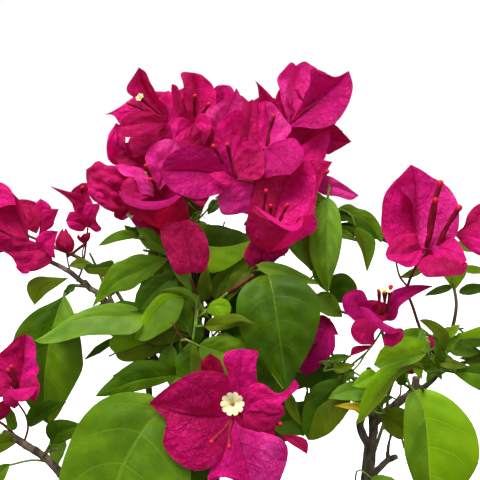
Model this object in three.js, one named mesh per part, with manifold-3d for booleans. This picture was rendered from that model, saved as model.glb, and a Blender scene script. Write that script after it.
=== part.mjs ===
// A young bougainvillea bush, rooted in the ground: a short flared trunk, the boughs that fork from
// it, and the crown as separate uneven masses of leaves and of papery bracts.
// Millimetres, +Z up. The origin is at the middle of the flat cut under the trunk, at ground level.
// +X is the bush's right and -Y its front, where the largest bloom hangs.

import * as THREE from "three";
import { mergeVertices } from "three/addons/utils/BufferGeometryUtils.js";
import Module from "manifold-3d";

const wasm = await Module();
wasm.setup();

// ---------------------------------------------------------------- driving dimensions

const crownMiddle = 280; // height of the crown's middle above the ground
const forkHeight = 40; // where the boughs leave the trunk
const gap = 0.35; // clear space left between neighbouring pieces

const trunk = { height: 43, footRadius: 8.6, topRadius: 7.4, flare: 6.5, flareHeight: 10, roots: 5 };
const trunkSides = 15;
const trunkRings = 6;
const limbSides = 6;
const limbStep = 26; // length of limb between two of its rings
const smallMass = 18; // a mass of less than this mean half size has a coarser ball

// Every place below is measured from the crown's middle, which stands over the origin.
const fork = [1, -1, forkHeight - crownMiddle];

// Each limb: the points it passes through, and its radius at the foot and at the tip.
const limbs = {
  bough_centre: {
    path: [fork, [-8, 1, -185], [-15, 1, -110], [-16, 0, -60], [-12, 2, -33], [-10, 5, -20]],
    foot: 5.2,
    tip: 1.9,
  },
  bough_right: {
    path: [fork, [30, 3, -205], [52, 3, -160], [60, 0, -116], [60, 0, -91]],
    foot: 4.9,
    tip: 2.8,
  },
  bough_left_low: {
    path: [fork, [-30, -10, -200], [-60, -20, -140], [-80, -25, -98], [-95, -27, -85]],
    foot: 4.3,
    tip: 1.7,
  },
  bough_front: {
    path: [fork, [-6, -30, -198], [-14, -56, -135], [-15, -68, -98], [-12, -72, -84]],
    foot: 3.9,
    tip: 1.8,
  },
  bough_back_right: { path: [fork, [38, 26, -200], [65, 40, -128], [65, 43, -78]], foot: 4.4, tip: 1.9 },
  bough_back_left: { path: [fork, [-22, 26, -198], [-42, 48, -130], [-50, 52, -66]], foot: 4.2, tip: 1.8 },
  limb_right_high: {
    path: [[60, 0, -92], [68, -2, -80], [80, -6, -68], [88, -8, -57], [92, -10, -49]],
    foot: 2.8,
    tip: 1.7,
  },
  limb_left_high: {
    path: [[-15, 0, -104], [-30, -3, -68], [-62, -5, -30], [-80, -8, -12], [-87, -9, -3]],
    foot: 2.6,
    tip: 1.3,
  },
  stub_right: { path: [[60, 0, -118], [65, -2, -109], [73, -3, -98]], foot: 2.1, tip: 1.5 },
  stalk_right: {
    path: [[90, -13, -51], [86, -19, -36], [82, -24, -25], [83, -27, -5]],
    foot: 1.3,
    tip: 0.9,
  },
  stalk_left_low: {
    path: [[-82, -26, -95], [-91, -27, -83], [-88, -28, -73], [-93, -29, -62]],
    foot: 1.3,
    tip: 0.9,
  },
};

// Each mass: where its middle is, half its width, depth and height, and a seed for its uneven outline.
const blooms = {
  bloom_top_a: { at: [-42, -12, 54], half: [15, 15, 20], seed: 1 },
  bloom_top_b: { at: [-20, -2, 62], half: [15, 15, 15], seed: 2 },
  bloom_top_c: { at: [-58, -15, 26], half: [12, 14, 14], seed: 3 },
  bloom_top_d: { at: [-37, -35, 28], half: [18, 16, 14], seed: 4 },
  bloom_top_e: { at: [-14, -20, 30], half: [15, 16, 18], seed: 5 },
  bloom_top_f: { at: [-2, -6, 52], half: [13, 15, 18], seed: 6 },
  bloom_top_g: { at: [14, -8, 49], half: [14, 16, 19], seed: 7 },
  bloom_top_h: { at: [32, -10, 66], half: [18, 16, 14], seed: 8 },
  bloom_top_i: { at: [41, 5, 46], half: [12, 14, 15], seed: 9 },
  bloom_top_j: { at: [15, -32, 20], half: [19, 17, 20], seed: 10 },
  bloom_top_k: { at: [-21, -38, 6], half: [10, 11, 14], seed: 11 },
  bloom_left_a: { at: [-101, -10, 8], half: [22, 17, 18], seed: 12 },
  bloom_left_b: { at: [-75, -2, 14], half: [10, 12, 13], seed: 13 },
  bloom_left_low: { at: [-99, -30, -54], half: [16, 14, 16], seed: 14 },
  bloom_front: { at: [-3, -80, -64], half: [30, 20, 26], seed: 15 },
  bloom_centre: { at: [36, -14, -48], half: [10, 10, 14], seed: 16 },
  bloom_mid_right: { at: [62, -30, -26], half: [19, 14, 13], seed: 17 },
  bloom_right_a: { at: [78, -30, 14], half: [17, 15, 22], seed: 18 },
  bloom_right_b: { at: [106, -15, 8], half: [14, 14, 14], seed: 19 },
  bloom_back_a: { at: [-30, 36, 30], half: [23, 20, 19], seed: 20 },
  bloom_back_b: { at: [18, 40, 34], half: [23, 20, 20], seed: 21 },
  bloom_back_c: { at: [-60, 62, -106], half: [19, 17, 18], seed: 22 },
  bloom_back_d: { at: [78, 60, -78], half: [19, 18, 18], seed: 23 },
};

const leafMasses = {
  leaves_left_top: { at: [-55, 5, -10], half: [24, 20, 14], seed: 31 },
  leaves_left_hanging: { at: [-89, 2, -50], half: [17, 12, 32], seed: 33 },
  leaves_left_mid: { at: [-50, -24, -34], half: [40, 18, 13], seed: 34 },
  leaves_left_inner: { at: [-46, -8, -60], half: [20, 14, 10], seed: 35 },
  leaves_low_left: { at: [-90, -18, -84], half: [24, 17, 13], seed: 36 },
  leaves_front_left: { at: [-45, -70, -74], half: [27, 16, 22], seed: 37 },
  leaves_heart: { at: [-12, 2, 0], half: [30, 27, 24], seed: 38 },
  leaves_centre_front: { at: [14, -35, -35], half: [19, 18, 25], seed: 39 },
  leaves_right_top: { at: [48, 16, -6], half: [26, 22, 26], seed: 40 },
  leaves_centre_right: { at: [44, -2, -78], half: [16, 17, 18], seed: 42 },
  leaves_right_front: { at: [64, -34, -56], half: [20, 20, 17], seed: 43 },
  leaves_right_big: { at: [84, -25, -80], half: [18, 20, 20], seed: 44 },
  leaves_right_tip: { at: [98, -6, -42], half: [18, 17, 14], seed: 45 },
  leaves_right_far: { at: [103, 2, -20], half: [15, 15, 13], seed: 46 },
  leaves_centre: { at: [-14, -10, -46], half: [24, 22, 20], seed: 47 },
  leaves_back_top: { at: [2, 48, 0], half: [46, 24, 18], seed: 48 },
  leaves_back_left: { at: [-52, 50, -47], half: [27, 24, 21], seed: 49 },
  leaves_back_right: { at: [46, 50, -70], half: [27, 24, 23], seed: 50 },
  leaves_back_centre: { at: [0, 66, -42], half: [30, 22, 26], seed: 51 },
  leaves_low_front: { at: [-14, -58, -118], half: [32, 20, 17], seed: 52 },
  leaves_low_side: { at: [-50, -12, -134], half: [24, 20, 17], seed: 53 },
  leaves_low_right: { at: [66, -6, -134], half: [25, 22, 17], seed: 54 },
  leaves_low_back: { at: [-4, 48, -112], half: [40, 24, 19], seed: 55 },
  leaves_skirt_front: { at: [12, -38, -160], half: [27, 18, 15], seed: 56 },
  leaves_skirt_back: { at: [-20, 32, -160], half: [30, 22, 15], seed: 57 },
};

// ---------------------------------------------------------------- materials

const bark = new THREE.MeshStandardMaterial({ color: 0x5e5043, roughness: 0.9, metalness: 0 });
const leaf = new THREE.MeshStandardMaterial({ color: 0x4c7f1c, roughness: 0.5, metalness: 0 });
const bract = new THREE.MeshStandardMaterial({ color: 0xc4106a, roughness: 0.6, metalness: 0 });

// ---------------------------------------------------------------- solids

// A geometry as a manifold solid, with its shared corners merged.
function solidOf(geometry) {
  geometry.deleteAttribute("normal");
  geometry.deleteAttribute("uv");
  const merged = mergeVertices(geometry, 1e-3);
  return new wasm.Manifold(
    new wasm.Mesh({
      numProp: 3,
      vertProperties: new Float32Array(merged.attributes.position.array),
      triVerts: new Uint32Array(merged.index.array),
    }),
  );
}

function geometryOf(solid) {
  const mesh = solid.getMesh();
  const geometry = new THREE.BufferGeometry();
  geometry.setAttribute("position", new THREE.BufferAttribute(mesh.vertProperties, 3));
  geometry.setIndex(new THREE.BufferAttribute(mesh.triVerts, 1));
  geometry.computeVertexNormals();
  return geometry;
}

// Moves every corner of a geometry by a rule that changes the vector it is given.
function reshape(geometry, rule) {
  const places = geometry.attributes.position;
  const place = new THREE.Vector3();
  for (let i = 0; i < places.count; i++) {
    place.fromBufferAttribute(places, i);
    rule(place);
    places.setXYZ(i, place.x, place.y, place.z);
  }
  return geometry;
}

// A tapering limb bent along a smooth curve. extra makes it thicker all over.
function limbSolid({ path, foot, tip }, extra = 0) {
  const curve = new THREE.CatmullRomCurve3(path.map((p) => new THREE.Vector3(...p)), false, "centripetal");
  const rings = Math.max(3, Math.round(curve.getLength() / limbStep));
  const frames = curve.computeFrenetFrames(rings, false);
  const tube = new THREE.CylinderGeometry(1, 1, 1, limbSides, rings);
  reshape(tube, (p) => {
    const share = p.y + 0.5;
    const ring = Math.round(share * rings);
    const radius = THREE.MathUtils.lerp(foot, tip, share) + extra;
    const across = frames.normals[ring].clone().multiplyScalar(p.x * radius);
    const over = frames.binormals[ring].clone().multiplyScalar(-p.z * radius);
    p.copy(curve.getPointAt(ring / rings)).add(across).add(over);
  });
  return facingOut(tube);
}

// The trunk: its foot spreads into root flares at the flat cut, and its top swells at the fork.
function trunkSolid(extra = 0) {
  const column = new THREE.CylinderGeometry(1, 1, 1, trunkSides, trunkRings);
  reshape(column, (p) => {
    const share = (p.y + 0.5) ** 1.5; // rings lie closer together at the foot
    const height = share * (trunk.height + extra);
    const turn = Math.atan2(p.z, p.x);
    const ridges = 1 + 0.35 * Math.cos(trunk.roots * turn);
    const spread = trunk.flare * Math.exp(-height / trunk.flareHeight) * ridges;
    const swelling = 1.6 * Math.exp(-(((height - trunk.height) / 12) ** 2));
    const radius = THREE.MathUtils.lerp(trunk.footRadius, trunk.topRadius, share) + spread + swelling;
    const size = Math.hypot(p.x, p.z) * (radius + extra);
    p.x = fork[0] * share + size * Math.cos(turn);
    p.y = fork[1] * share + size * Math.sin(turn);
    p.z = height - crownMiddle;
  });
  return facingOut(column);
}

// A geometry's solid, turned the right way out if its reshaping mirrored it.
function facingOut(geometry) {
  const solid = solidOf(geometry.clone());
  if (solid.volume() > 0) return solid;
  const index = geometry.index.array;
  for (let i = 0; i < index.length; i += 3) [index[i + 1], index[i + 2]] = [index[i + 2], index[i + 1]];
  return solidOf(geometry);
}

// An uneven ball: slow waves in its radius, and three soft corners where lobes is above 0.
function massSolid({ at, half, seed }, lobes, extra = 0) {
  const meanHalf = (half[0] + half[1] + half[2]) / 3;
  const ball = new THREE.IcosahedronGeometry(1, meanHalf < smallMass ? 1 : 2);
  const phase = (n) => seed * 2.399 + n * 1.7;
  reshape(ball, (p) => {
    const waves =
      0.09 * Math.sin(3.3 * p.x + 1.9 * p.z + phase(1)) +
      0.08 * Math.sin(3.9 * p.z - 2.2 * p.y + phase(2)) +
      0.06 * Math.sin(5.1 * p.y + 3.1 * p.x + phase(3));
    const corners = lobes * (1 - p.y * p.y) * Math.cos(3 * Math.atan2(p.z, p.x) + phase(0));
    const size = 1 + waves + corners;
    p.set(
      at[0] + p.x * (half[0] * size + extra),
      at[1] + p.y * (half[1] * size + extra),
      at[2] + p.z * (half[2] * size + extra),
    );
  });
  return solidOf(ball);
}

// ---------------------------------------------------------------- assembly

const bush = new THREE.Group();
bush.name = "bougainvillea_bush";
bush.position.z = crownMiddle;
const placed = []; // what later pieces are cut clear of: each piece, a gap thicker

function touching(a, b) {
  return a.min.every((low, i) => low < b.max[i]) && b.min.every((low, i) => low < a.max[i]);
}

// Adds a piece, cut clear of every piece added before it. Its largest remaining body is kept.
function place(name, solid, grown, material) {
  let rest = solid;
  for (const other of placed) {
    if (touching(rest.boundingBox(), other.boundingBox())) rest = rest.subtract(other);
  }
  const largest = rest.decompose().sort((a, b) => b.volume() - a.volume())[0];
  const mesh = new THREE.Mesh(geometryOf(largest), material);
  mesh.name = name;
  bush.add(mesh);
  placed.push(grown);
}

place("trunk", trunkSolid(), trunkSolid(gap), bark);
for (const [name, limb] of Object.entries(limbs)) {
  place(name, limbSolid(limb), limbSolid(limb, gap), bark);
}
for (const [name, mass] of Object.entries(blooms)) {
  place(name, massSolid(mass, 0.1), massSolid(mass, 0.1, gap), bract);
}
for (const [name, mass] of Object.entries(leafMasses)) {
  place(name, massSolid(mass, 0), massSolid(mass, 0, gap), leaf);
}

export default bush;
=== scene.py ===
import bpy
import bmesh
import math
import random
import numpy as np
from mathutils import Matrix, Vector, noise


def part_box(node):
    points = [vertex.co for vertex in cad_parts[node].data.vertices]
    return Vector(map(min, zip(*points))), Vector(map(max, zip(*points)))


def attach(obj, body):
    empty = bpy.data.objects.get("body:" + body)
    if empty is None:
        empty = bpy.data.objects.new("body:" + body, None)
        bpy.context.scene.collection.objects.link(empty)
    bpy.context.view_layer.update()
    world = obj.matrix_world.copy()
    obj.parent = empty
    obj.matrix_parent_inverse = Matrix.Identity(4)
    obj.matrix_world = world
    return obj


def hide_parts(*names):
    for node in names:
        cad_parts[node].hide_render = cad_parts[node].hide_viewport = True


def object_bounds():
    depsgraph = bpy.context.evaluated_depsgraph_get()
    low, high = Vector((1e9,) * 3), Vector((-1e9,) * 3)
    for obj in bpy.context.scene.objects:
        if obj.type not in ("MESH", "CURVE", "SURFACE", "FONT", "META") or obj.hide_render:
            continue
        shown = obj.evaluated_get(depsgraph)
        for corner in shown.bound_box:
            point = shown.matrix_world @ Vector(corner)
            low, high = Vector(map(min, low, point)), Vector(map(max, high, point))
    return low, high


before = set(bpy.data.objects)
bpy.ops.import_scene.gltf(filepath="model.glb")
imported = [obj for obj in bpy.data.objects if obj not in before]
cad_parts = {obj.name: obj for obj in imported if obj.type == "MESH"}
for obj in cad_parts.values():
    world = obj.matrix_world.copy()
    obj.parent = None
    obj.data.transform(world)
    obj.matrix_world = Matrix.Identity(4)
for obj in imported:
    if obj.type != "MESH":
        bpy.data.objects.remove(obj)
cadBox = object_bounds()
mm = 0.001
print("frame loaded:", len(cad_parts), "nodes")

# The crown's middle stands over the origin. Places below are millimetres from it: right, back, up.
crownView = {"middleBelowTop": 80.6, "lookDown": 6.0, "distance": 430.0, "width": 220.0}
crownMiddle = Vector((0, 0, cadBox[1].z - crownView["middleBelowTop"] * mm))
groundDown = -crownMiddle.z / mm  # the ground, measured from the crown's middle


def makeCamera(place):
    data = bpy.data.cameras.new("camera")
    data.sensor_width = 36
    data.lens = 36 * place["distance"] / place["width"]
    data.clip_start = 0.01
    data.clip_end = 50
    camera = bpy.data.objects.new("camera", data)
    bpy.context.collection.objects.link(camera)
    down = math.radians(place["lookDown"])
    back = Vector((0, -math.cos(down), math.sin(down))) * place["distance"] * mm
    camera.location = crownMiddle + back
    camera.rotation_euler = (math.pi / 2 - down, 0, 0)
    bpy.context.scene.camera = camera


makeCamera(crownView)


def crownBoxOf(node):
    low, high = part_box(node)
    middle = (low + high) / 2 - crownMiddle
    return np.array(middle) / mm, np.array(high - low) / mm / 2


# Sheets and tubes are collected as arrays, and joined into one piece each at the end

sprays = {}


def addToSpray(sprayName, points, faces, uv):
    spray = sprays.setdefault(sprayName, {"points": [], "faces": [], "uv": [], "count": 0})
    spray["points"].append(points)
    spray["faces"].append(faces + spray["count"])
    spray["uv"].append(uv)
    spray["count"] += len(points)


def gridSheet(alongCount, acrossCount):
    bm = bmesh.new()
    bmesh.ops.create_grid(bm, x_segments=alongCount, y_segments=acrossCount, size=1)
    places = np.array([v.co[:] for v in bm.verts])
    faces = np.array([[v.index for v in f.verts] for f in bm.faces])
    bm.free()
    u = (places[:, 0] + 1) / 2
    s = 0.4 * u + 0.6 * (0.5 - 0.5 * np.cos(np.pi * u))  # rows lie closer at the base and the tip
    return {"s": s, "t": places[:, 1], "faces": faces}


sheets = {
    "leaf": gridSheet(14, 8),
    "small": gridSheet(9, 4),
}


def unit(v):
    v = np.array(v, float)
    return v / max(np.linalg.norm(v), 1e-9)


# How the two kinds of blade are cut. belly and point shape the outline from base to tip.
bladeCuts = {
    "leaf": {"belly": 0.52, "point": 1.02, "lobe": 0.03},
    "bract": {"belly": 0.42, "point": 0.72, "lobe": 0.06},
}

bladeDefaults = {
    "cut": "leaf", "fold": 10, "cup": 0.0, "arch": 0.05, "bow": 0.0, "twist": 0,
    "wave": 0.6, "waves": 2.2, "quilt": 0.5, "pairs": 5, "crumple": 0.0, "sheet": "leaf",
}


def shapeBlade(blade, dice):
    blade = {**bladeDefaults, **bladeCuts[blade.get("cut", "leaf")], **blade}
    sheet = sheets[blade["sheet"]]
    s, t = sheet["s"], sheet["t"]
    out = np.abs(t)
    base, tip = np.array(blade["base"], float), np.array(blade["tip"], float)
    reach = tip - base
    length = np.linalg.norm(reach)
    along = reach / length
    face = np.array(blade["face"], float)
    face = unit(face - along * face.dot(along))
    side = np.cross(face, along)

    # the midrib rises by arch and drifts to the left or up by bow
    arch, bow = blade["arch"] * length, blade["bow"] * length
    rise = arch * 4 * s * (1 - s)
    slope = arch * 4 * (1 - 2 * s)
    steep = np.sqrt(length**2 + slope**2)
    firstSide = side if side.dot((-1, 0, 0.35)) > 0 else -side
    drift = bow * 4 * s * (1 - s)
    lean = np.arctan(bow * 4 * (1 - 2 * s) / length)
    normal = np.outer(length / steep, face) - np.outer(slope / steep, along)
    turn = np.radians(blade["twist"]) * (s - 0.3)
    flat = np.outer(np.cos(lean), side) - np.outer(np.sin(lean) * (1 if side is firstSide else -1), along)
    sideways = flat * np.cos(turn)[:, None] + normal * np.sin(turn)[:, None]
    upward = normal * np.cos(turn)[:, None] - flat * np.sin(turn)[:, None]

    # outline
    belly, point = blade["belly"], blade["point"]
    widest = belly / (belly + point)
    peak = widest**belly * (1 - widest) ** point
    outline = np.maximum(s, 0) ** belly * np.maximum(1 - s, 0) ** point / peak
    ragged = 1 + 0.03 * np.sin(2 * np.pi * (2.3 * s + dice.random()))
    ragged = ragged + 0.02 * np.sin(2 * np.pi * (5.1 * s + dice.random()))
    half = 0.5 * blade["width"] * outline * ragged

    # across the blade it bends as an arc that starts at the fold
    fold = np.radians(blade["fold"])
    cup = blade["cup"] if abs(blade["cup"]) > 0.01 else 0.01
    edge = fold + cup * out
    across = (np.sin(edge) - np.sin(fold)) / cup * np.sign(t)
    lift = (np.cos(fold) - np.cos(edge)) / cup

    phase = dice.random()
    ripple = np.sin(2 * np.pi * (blade["waves"] * s + phase + 0.23 * np.sign(t)))
    lift = lift * half + blade["wave"] * out**2 * ripple * outline
    if blade["quilt"]:
        rib = blade["pairs"] * (s - 0.2 * out)
        cushions = np.abs(np.sin(np.pi * rib)) ** 0.8
        lift = lift + blade["quilt"] * cushions * out**0.6 * (1.15 - out) * outline * 1.6
    if blade["crumple"]:
        a, b, c, d = (dice.random() for _ in range(4))
        folds = np.sin(2 * np.pi * (1.2 * s + 0.7 * t + a)) * np.sin(2 * np.pi * (0.8 * t + 0.4 * s + b))
        fine = np.sin(2 * np.pi * (3.1 * s - 1.3 * t + c)) * np.sin(2 * np.pi * (2.1 * t + 1.2 * s + d))
        lift = lift + blade["crumple"] * (folds + 0.45 * fine) * (0.25 + 0.75 * out) * outline
    back = -blade["lobe"] * length * out**2 * (1 - s) ** 5  # the lobes beside the stalk reach back

    points = base + np.outer(s, reach) + np.outer(rise, face)
    points = points + np.outer(drift, firstSide) + np.outer(back, along)
    points = points + sideways * (across * half)[:, None] + upward * lift[:, None]
    uv = np.stack([(t + 1) / 2, s], axis=1)
    return points, sheet["faces"], uv


def addBlade(sprayName, blade, dice):
    points, faces, uv = shapeBlade(blade, dice)
    addToSpray(sprayName, points, faces, uv)
    return points


def smoothPath(points, step):
    points = np.array(points, float)
    if len(points) == 2:
        count = max(2, int(np.linalg.norm(points[1] - points[0]) / step))
        return points[0] + np.outer(np.linspace(0, 1, count + 1), points[1] - points[0])
    padded = np.vstack([2 * points[0] - points[1], points, 2 * points[-1] - points[-2]])
    rows = []
    for i in range(1, len(padded) - 2):
        p0, p1, p2, p3 = padded[i - 1 : i + 3]
        count = max(1, int(np.linalg.norm(p2 - p1) / step))
        for w in np.linspace(0, 1, count, endpoint=False):
            bend, twist = 2 * p0 - 5 * p1 + 4 * p2 - p3, 3 * p1 - p0 - 3 * p2 + p3
            rows.append(0.5 * (2 * p1 + (p2 - p0) * w + bend * w**2 + twist * w**3))
    rows.append(points[-1])
    return np.array(rows)


def tubeAlong(path, radii, sides):
    tangents = np.gradient(path, axis=0)
    tangents /= np.maximum(np.linalg.norm(tangents, axis=1, keepdims=True), 1e-9)
    start = np.array([1.0, 0, 0]) if abs(tangents[0][0]) < 0.8 else np.array([0, 1.0, 0])
    across = unit(start - tangents[0] * start.dot(tangents[0]))
    angles = np.linspace(0, 2 * np.pi, sides, endpoint=False)
    rings = []
    for place, tangent, radius in zip(path, tangents, radii):
        across = unit(across - tangent * across.dot(tangent))
        over = np.cross(tangent, across)
        rings.append(place + radius * (np.outer(np.cos(angles), across) + np.outer(np.sin(angles), over)))
    points = np.concatenate(rings)
    faces = []
    for ring in range(len(path) - 1):
        for k in range(sides):
            a, b = ring * sides + k, ring * sides + (k + 1) % sides
            faces.append([a, b, b + sides, a + sides])
    share = np.repeat(np.linspace(0, 1, len(path)), sides)
    uv = np.stack([np.tile(np.linspace(0, 1, sides), len(path)), share], axis=1)
    return points, np.array(faces), uv


def addTube(sprayName, points, foot, tip, sides=7, step=3.0, closed=True):
    path = smoothPath(points, step)
    share = np.linspace(0, 1, len(path))
    radii = foot + (tip - foot) * share
    if closed:  # both ends drawn in to a point
        path = np.vstack([path[0], path, path[-1]])
        radii = np.concatenate([[0.0], radii, [0.0]])
    addToSpray(sprayName, *tubeAlong(path, radii, sides))
    return path


def joinSpray(sprayName, skin, stands=()):
    spray = sprays[sprayName]
    points = np.concatenate(spray["points"]) * mm + np.array(crownMiddle)
    faces = np.concatenate(spray["faces"])
    uv = np.concatenate(spray["uv"])
    mesh = bpy.data.meshes.new(sprayName)
    mesh.vertices.add(len(points))
    mesh.vertices.foreach_set("co", points.ravel())
    mesh.loops.add(faces.size)
    mesh.loops.foreach_set("vertex_index", faces.ravel())
    mesh.polygons.add(len(faces))
    mesh.polygons.foreach_set("loop_start", np.arange(0, faces.size, 4))
    mesh.update(calc_edges=True)
    layer = mesh.uv_layers.new(name="uv")
    layer.data.foreach_set("uv", uv[faces.ravel()].ravel())
    bm = bmesh.new()
    bm.from_mesh(mesh)
    bmesh.ops.remove_doubles(bm, verts=bm.verts, dist=3e-6)  # closes the tips
    for polygon in bm.faces:
        polygon.smooth = True
    bm.to_mesh(mesh)
    bm.free()
    piece = bpy.data.objects.new(sprayName, mesh)
    bpy.context.collection.objects.link(piece)
    if skin:
        mesh.materials.append(skin)
        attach(piece, "root")
        if stands:
            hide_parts(*stands)
    triangles = sum(len(p.vertices) - 2 for p in mesh.polygons)
    print("joined", sprayName, triangles, "triangles")
    return piece


# A skin is a material. These small helpers make and join its nodes.


def newSkin(skinName):
    skin = bpy.data.materials.new(skinName)
    skin.use_nodes = True
    tree = skin.node_tree
    tree.nodes.clear()
    return skin, tree


def node(tree, kind, **settings):
    made = tree.nodes.new(kind)
    for key, value in settings.items():
        setattr(made, key, value)
    return made


def wire(tree, source, target):
    tree.links.new(source, target)


def give(tree, socket, value):
    # a number or a colour stays on the socket; anything else is joined to it
    if isinstance(value, (int, float)):
        socket.default_value = value
    elif isinstance(value, tuple):
        socket.default_value = (*value, 1)
    elif value is not None:
        wire(tree, value, socket)


def sums(tree, operation, first, second=None, third=None):
    made = node(tree, "ShaderNodeMath", operation=operation)
    for socket, value in zip(made.inputs, (first, second, third)):
        give(tree, socket, value)
    return made.outputs[0]


def scaled(tree, value, share):
    return sums(tree, "MULTIPLY", value, share)


def blend(tree, share, first, second):
    made = node(tree, "ShaderNodeMix", data_type="RGBA")
    for place, value in ((0, share), (6, first), (7, second)):
        give(tree, made.inputs[place], value)
    return made.outputs[2]


def ramp(tree, value, low, high, toLow=0.0, toHigh=1.0):
    made = node(tree, "ShaderNodeMapRange", interpolation_type="SMOOTHSTEP")
    for socket, number in zip(list(made.inputs)[:5], (value, low, high, toLow, toHigh)):
        give(tree, socket, number)
    return made.outputs[0]


def objectPlace(tree):
    return node(tree, "ShaderNodeTexCoord").outputs["Object"]


def speckle(tree, place, scale, detail, rough=0.55):
    made = node(tree, "ShaderNodeTexNoise")
    for key, value in (("Vector", place), ("Scale", scale), ("Detail", detail), ("Roughness", rough)):
        give(tree, made.inputs[key], value)
    return made.outputs[0]


def cellWalls(tree, place, scale):
    cells = node(tree, "ShaderNodeTexVoronoi", feature="DISTANCE_TO_EDGE")
    give(tree, cells.inputs["Scale"], scale)
    wire(tree, place, cells.inputs["Vector"])
    return cells.outputs["Distance"]


def makeSurface(tree, colour, rough, gloss, relief, strength, depth):
    bump = node(tree, "ShaderNodeBump")
    for key, value in (("Strength", strength), ("Distance", depth), ("Height", relief)):
        give(tree, bump.inputs[key], value)
    surface = node(tree, "ShaderNodeBsdfPrincipled")
    for key, value in (
        ("Base Color", colour), ("Roughness", rough), ("Specular IOR Level", gloss),
        ("Normal", bump.outputs[0]),
    ):
        give(tree, surface.inputs[key], value)
    return surface


def closeSkin(tree, shader):
    wire(tree, shader, node(tree, "ShaderNodeOutputMaterial").inputs[0])


def letThrough(tree, surface, look):
    # a thin blade lets some light through
    through = node(tree, "ShaderNodeBsdfTranslucent")
    give(tree, through.inputs["Color"], look["through"])
    mixed = node(tree, "ShaderNodeMixShader")
    for place, value in enumerate((look["thin"], surface.outputs[0], through.outputs[0])):
        give(tree, mixed.inputs[place], value)
    return mixed.outputs[0]


# Veins: pairs of side veins and their slant, the net between them, and how much of each shows in the colour
leafVeins = {"pairs": 5.0, "slant": 0.2, "net": 26, "netWidth": 0.09, "show": (0.06, 0.3, 0.5)}
bractVeins = {"pairs": 4.0, "slant": 0.34, "net": 17, "netWidth": 0.07, "show": (0.3, 0.5, 0.6)}


def bladeLines(tree, veins):
    # out is 0 on the midrib and 1 at the edge
    places = node(tree, "ShaderNodeUVMap", uv_map="uv")
    split = node(tree, "ShaderNodeSeparateXYZ")
    wire(tree, places.outputs[0], split.inputs[0])
    out = sums(tree, "ABSOLUTE", sums(tree, "MULTIPLY_ADD", split.outputs[0], 2.0, -1.0))
    slant = veins["slant"]
    curved = scaled(tree, out, sums(tree, "MULTIPLY_ADD", out, slant * 0.9, slant * 0.55))
    rib = scaled(tree, sums(tree, "SUBTRACT", split.outputs[1], curved), veins["pairs"])
    near = ramp(tree, sums(tree, "PINGPONG", rib, 0.5), 0.008, 0.05, 1.0, 0.0)
    midrib = ramp(tree, out, 0.012, 0.045, 1.0, 0.0)
    laterals = scaled(tree, near, ramp(tree, out, 0.5, 0.95, 0.8, 0.05))  # they fade towards the edge
    walls = cellWalls(tree, places.outputs[0], veins["net"])
    return out, midrib, laterals, ramp(tree, walls, 0.0, veins["netWidth"], 1.0, 0.0)


def drawVeins(tree, colour, lines, shares, tint):
    for line, share in zip(lines, shares):
        colour = blend(tree, scaled(tree, line, share), colour, tint)
    return colour


def leafSkin(skinName, look):
    skin, tree = newSkin(skinName)
    out, midrib, laterals, net = bladeLines(tree, leafVeins)
    cloud = speckle(tree, objectPlace(tree), 90, 4.0)
    fleck = speckle(tree, objectPlace(tree), 900, 2.0)
    colour = blend(tree, ramp(tree, cloud, 0.35, 0.7), look["deep"], look["face"])
    colour = blend(tree, scaled(tree, ramp(tree, out, 0.3, 1.0), 0.35), colour, look["edge"])
    colour = drawVeins(tree, colour, (net, laterals, midrib), leafVeins["show"], look["vein"])
    raised = sums(tree, "MAXIMUM", midrib, scaled(tree, laterals, 0.7))
    under = blend(tree, raised, look["under"], look["underVein"])
    colour = blend(tree, node(tree, "ShaderNodeNewGeometry").outputs["Backfacing"], colour, under)

    relief = sums(tree, "MAXIMUM", midrib, scaled(tree, laterals, 0.6))
    relief = sums(tree, "MULTIPLY_ADD", relief, -1.0, scaled(tree, net, -0.25))
    relief = sums(tree, "MULTIPLY_ADD", fleck, 0.35, relief)
    rough = sums(tree, "MULTIPLY_ADD", fleck, 0.2, look["rough"])
    surface = makeSurface(tree, colour, rough, look["gloss"], relief, 0.35, 0.0004)
    closeSkin(tree, letThrough(tree, surface, look))
    return skin


def bractSkin(skinName, look):
    skin, tree = newSkin(skinName)
    _, midrib, laterals, net = bladeLines(tree, bractVeins)
    cloud = speckle(tree, objectPlace(tree), 110, 4.0)
    fine = speckle(tree, objectPlace(tree), 700, 3.0)
    colour = blend(tree, ramp(tree, cloud, 0.3, 0.72), look["deep"], look["face"])
    colour = drawVeins(tree, colour, (net, laterals, midrib), bractVeins["show"], look["vein"])
    # paler pink flecks scattered by noise: a painted sheen
    colour = blend(tree, scaled(tree, ramp(tree, fine, 0.45, 0.75), 0.12), colour, look["bloom"])

    relief = sums(tree, "MAXIMUM", midrib, scaled(tree, laterals, 0.8))
    relief = sums(tree, "MULTIPLY_ADD", net, 0.6, relief)
    crepe = cellWalls(tree, objectPlace(tree), 210)
    relief = sums(tree, "MULTIPLY_ADD", crepe, 2.2, relief)
    relief = sums(tree, "MULTIPLY_ADD", speckle(tree, objectPlace(tree), 240, 4.0, 0.6), 2.2, relief)
    surface = makeSurface(tree, colour, 0.55, 0.12, relief, 0.6, 0.0008)
    give(tree, surface.inputs["Sheen Weight"], 0.08)
    give(tree, surface.inputs["Sheen Tint"], (1.0, 0.35, 0.8))
    closeSkin(tree, letThrough(tree, surface, look))
    return skin


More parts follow.
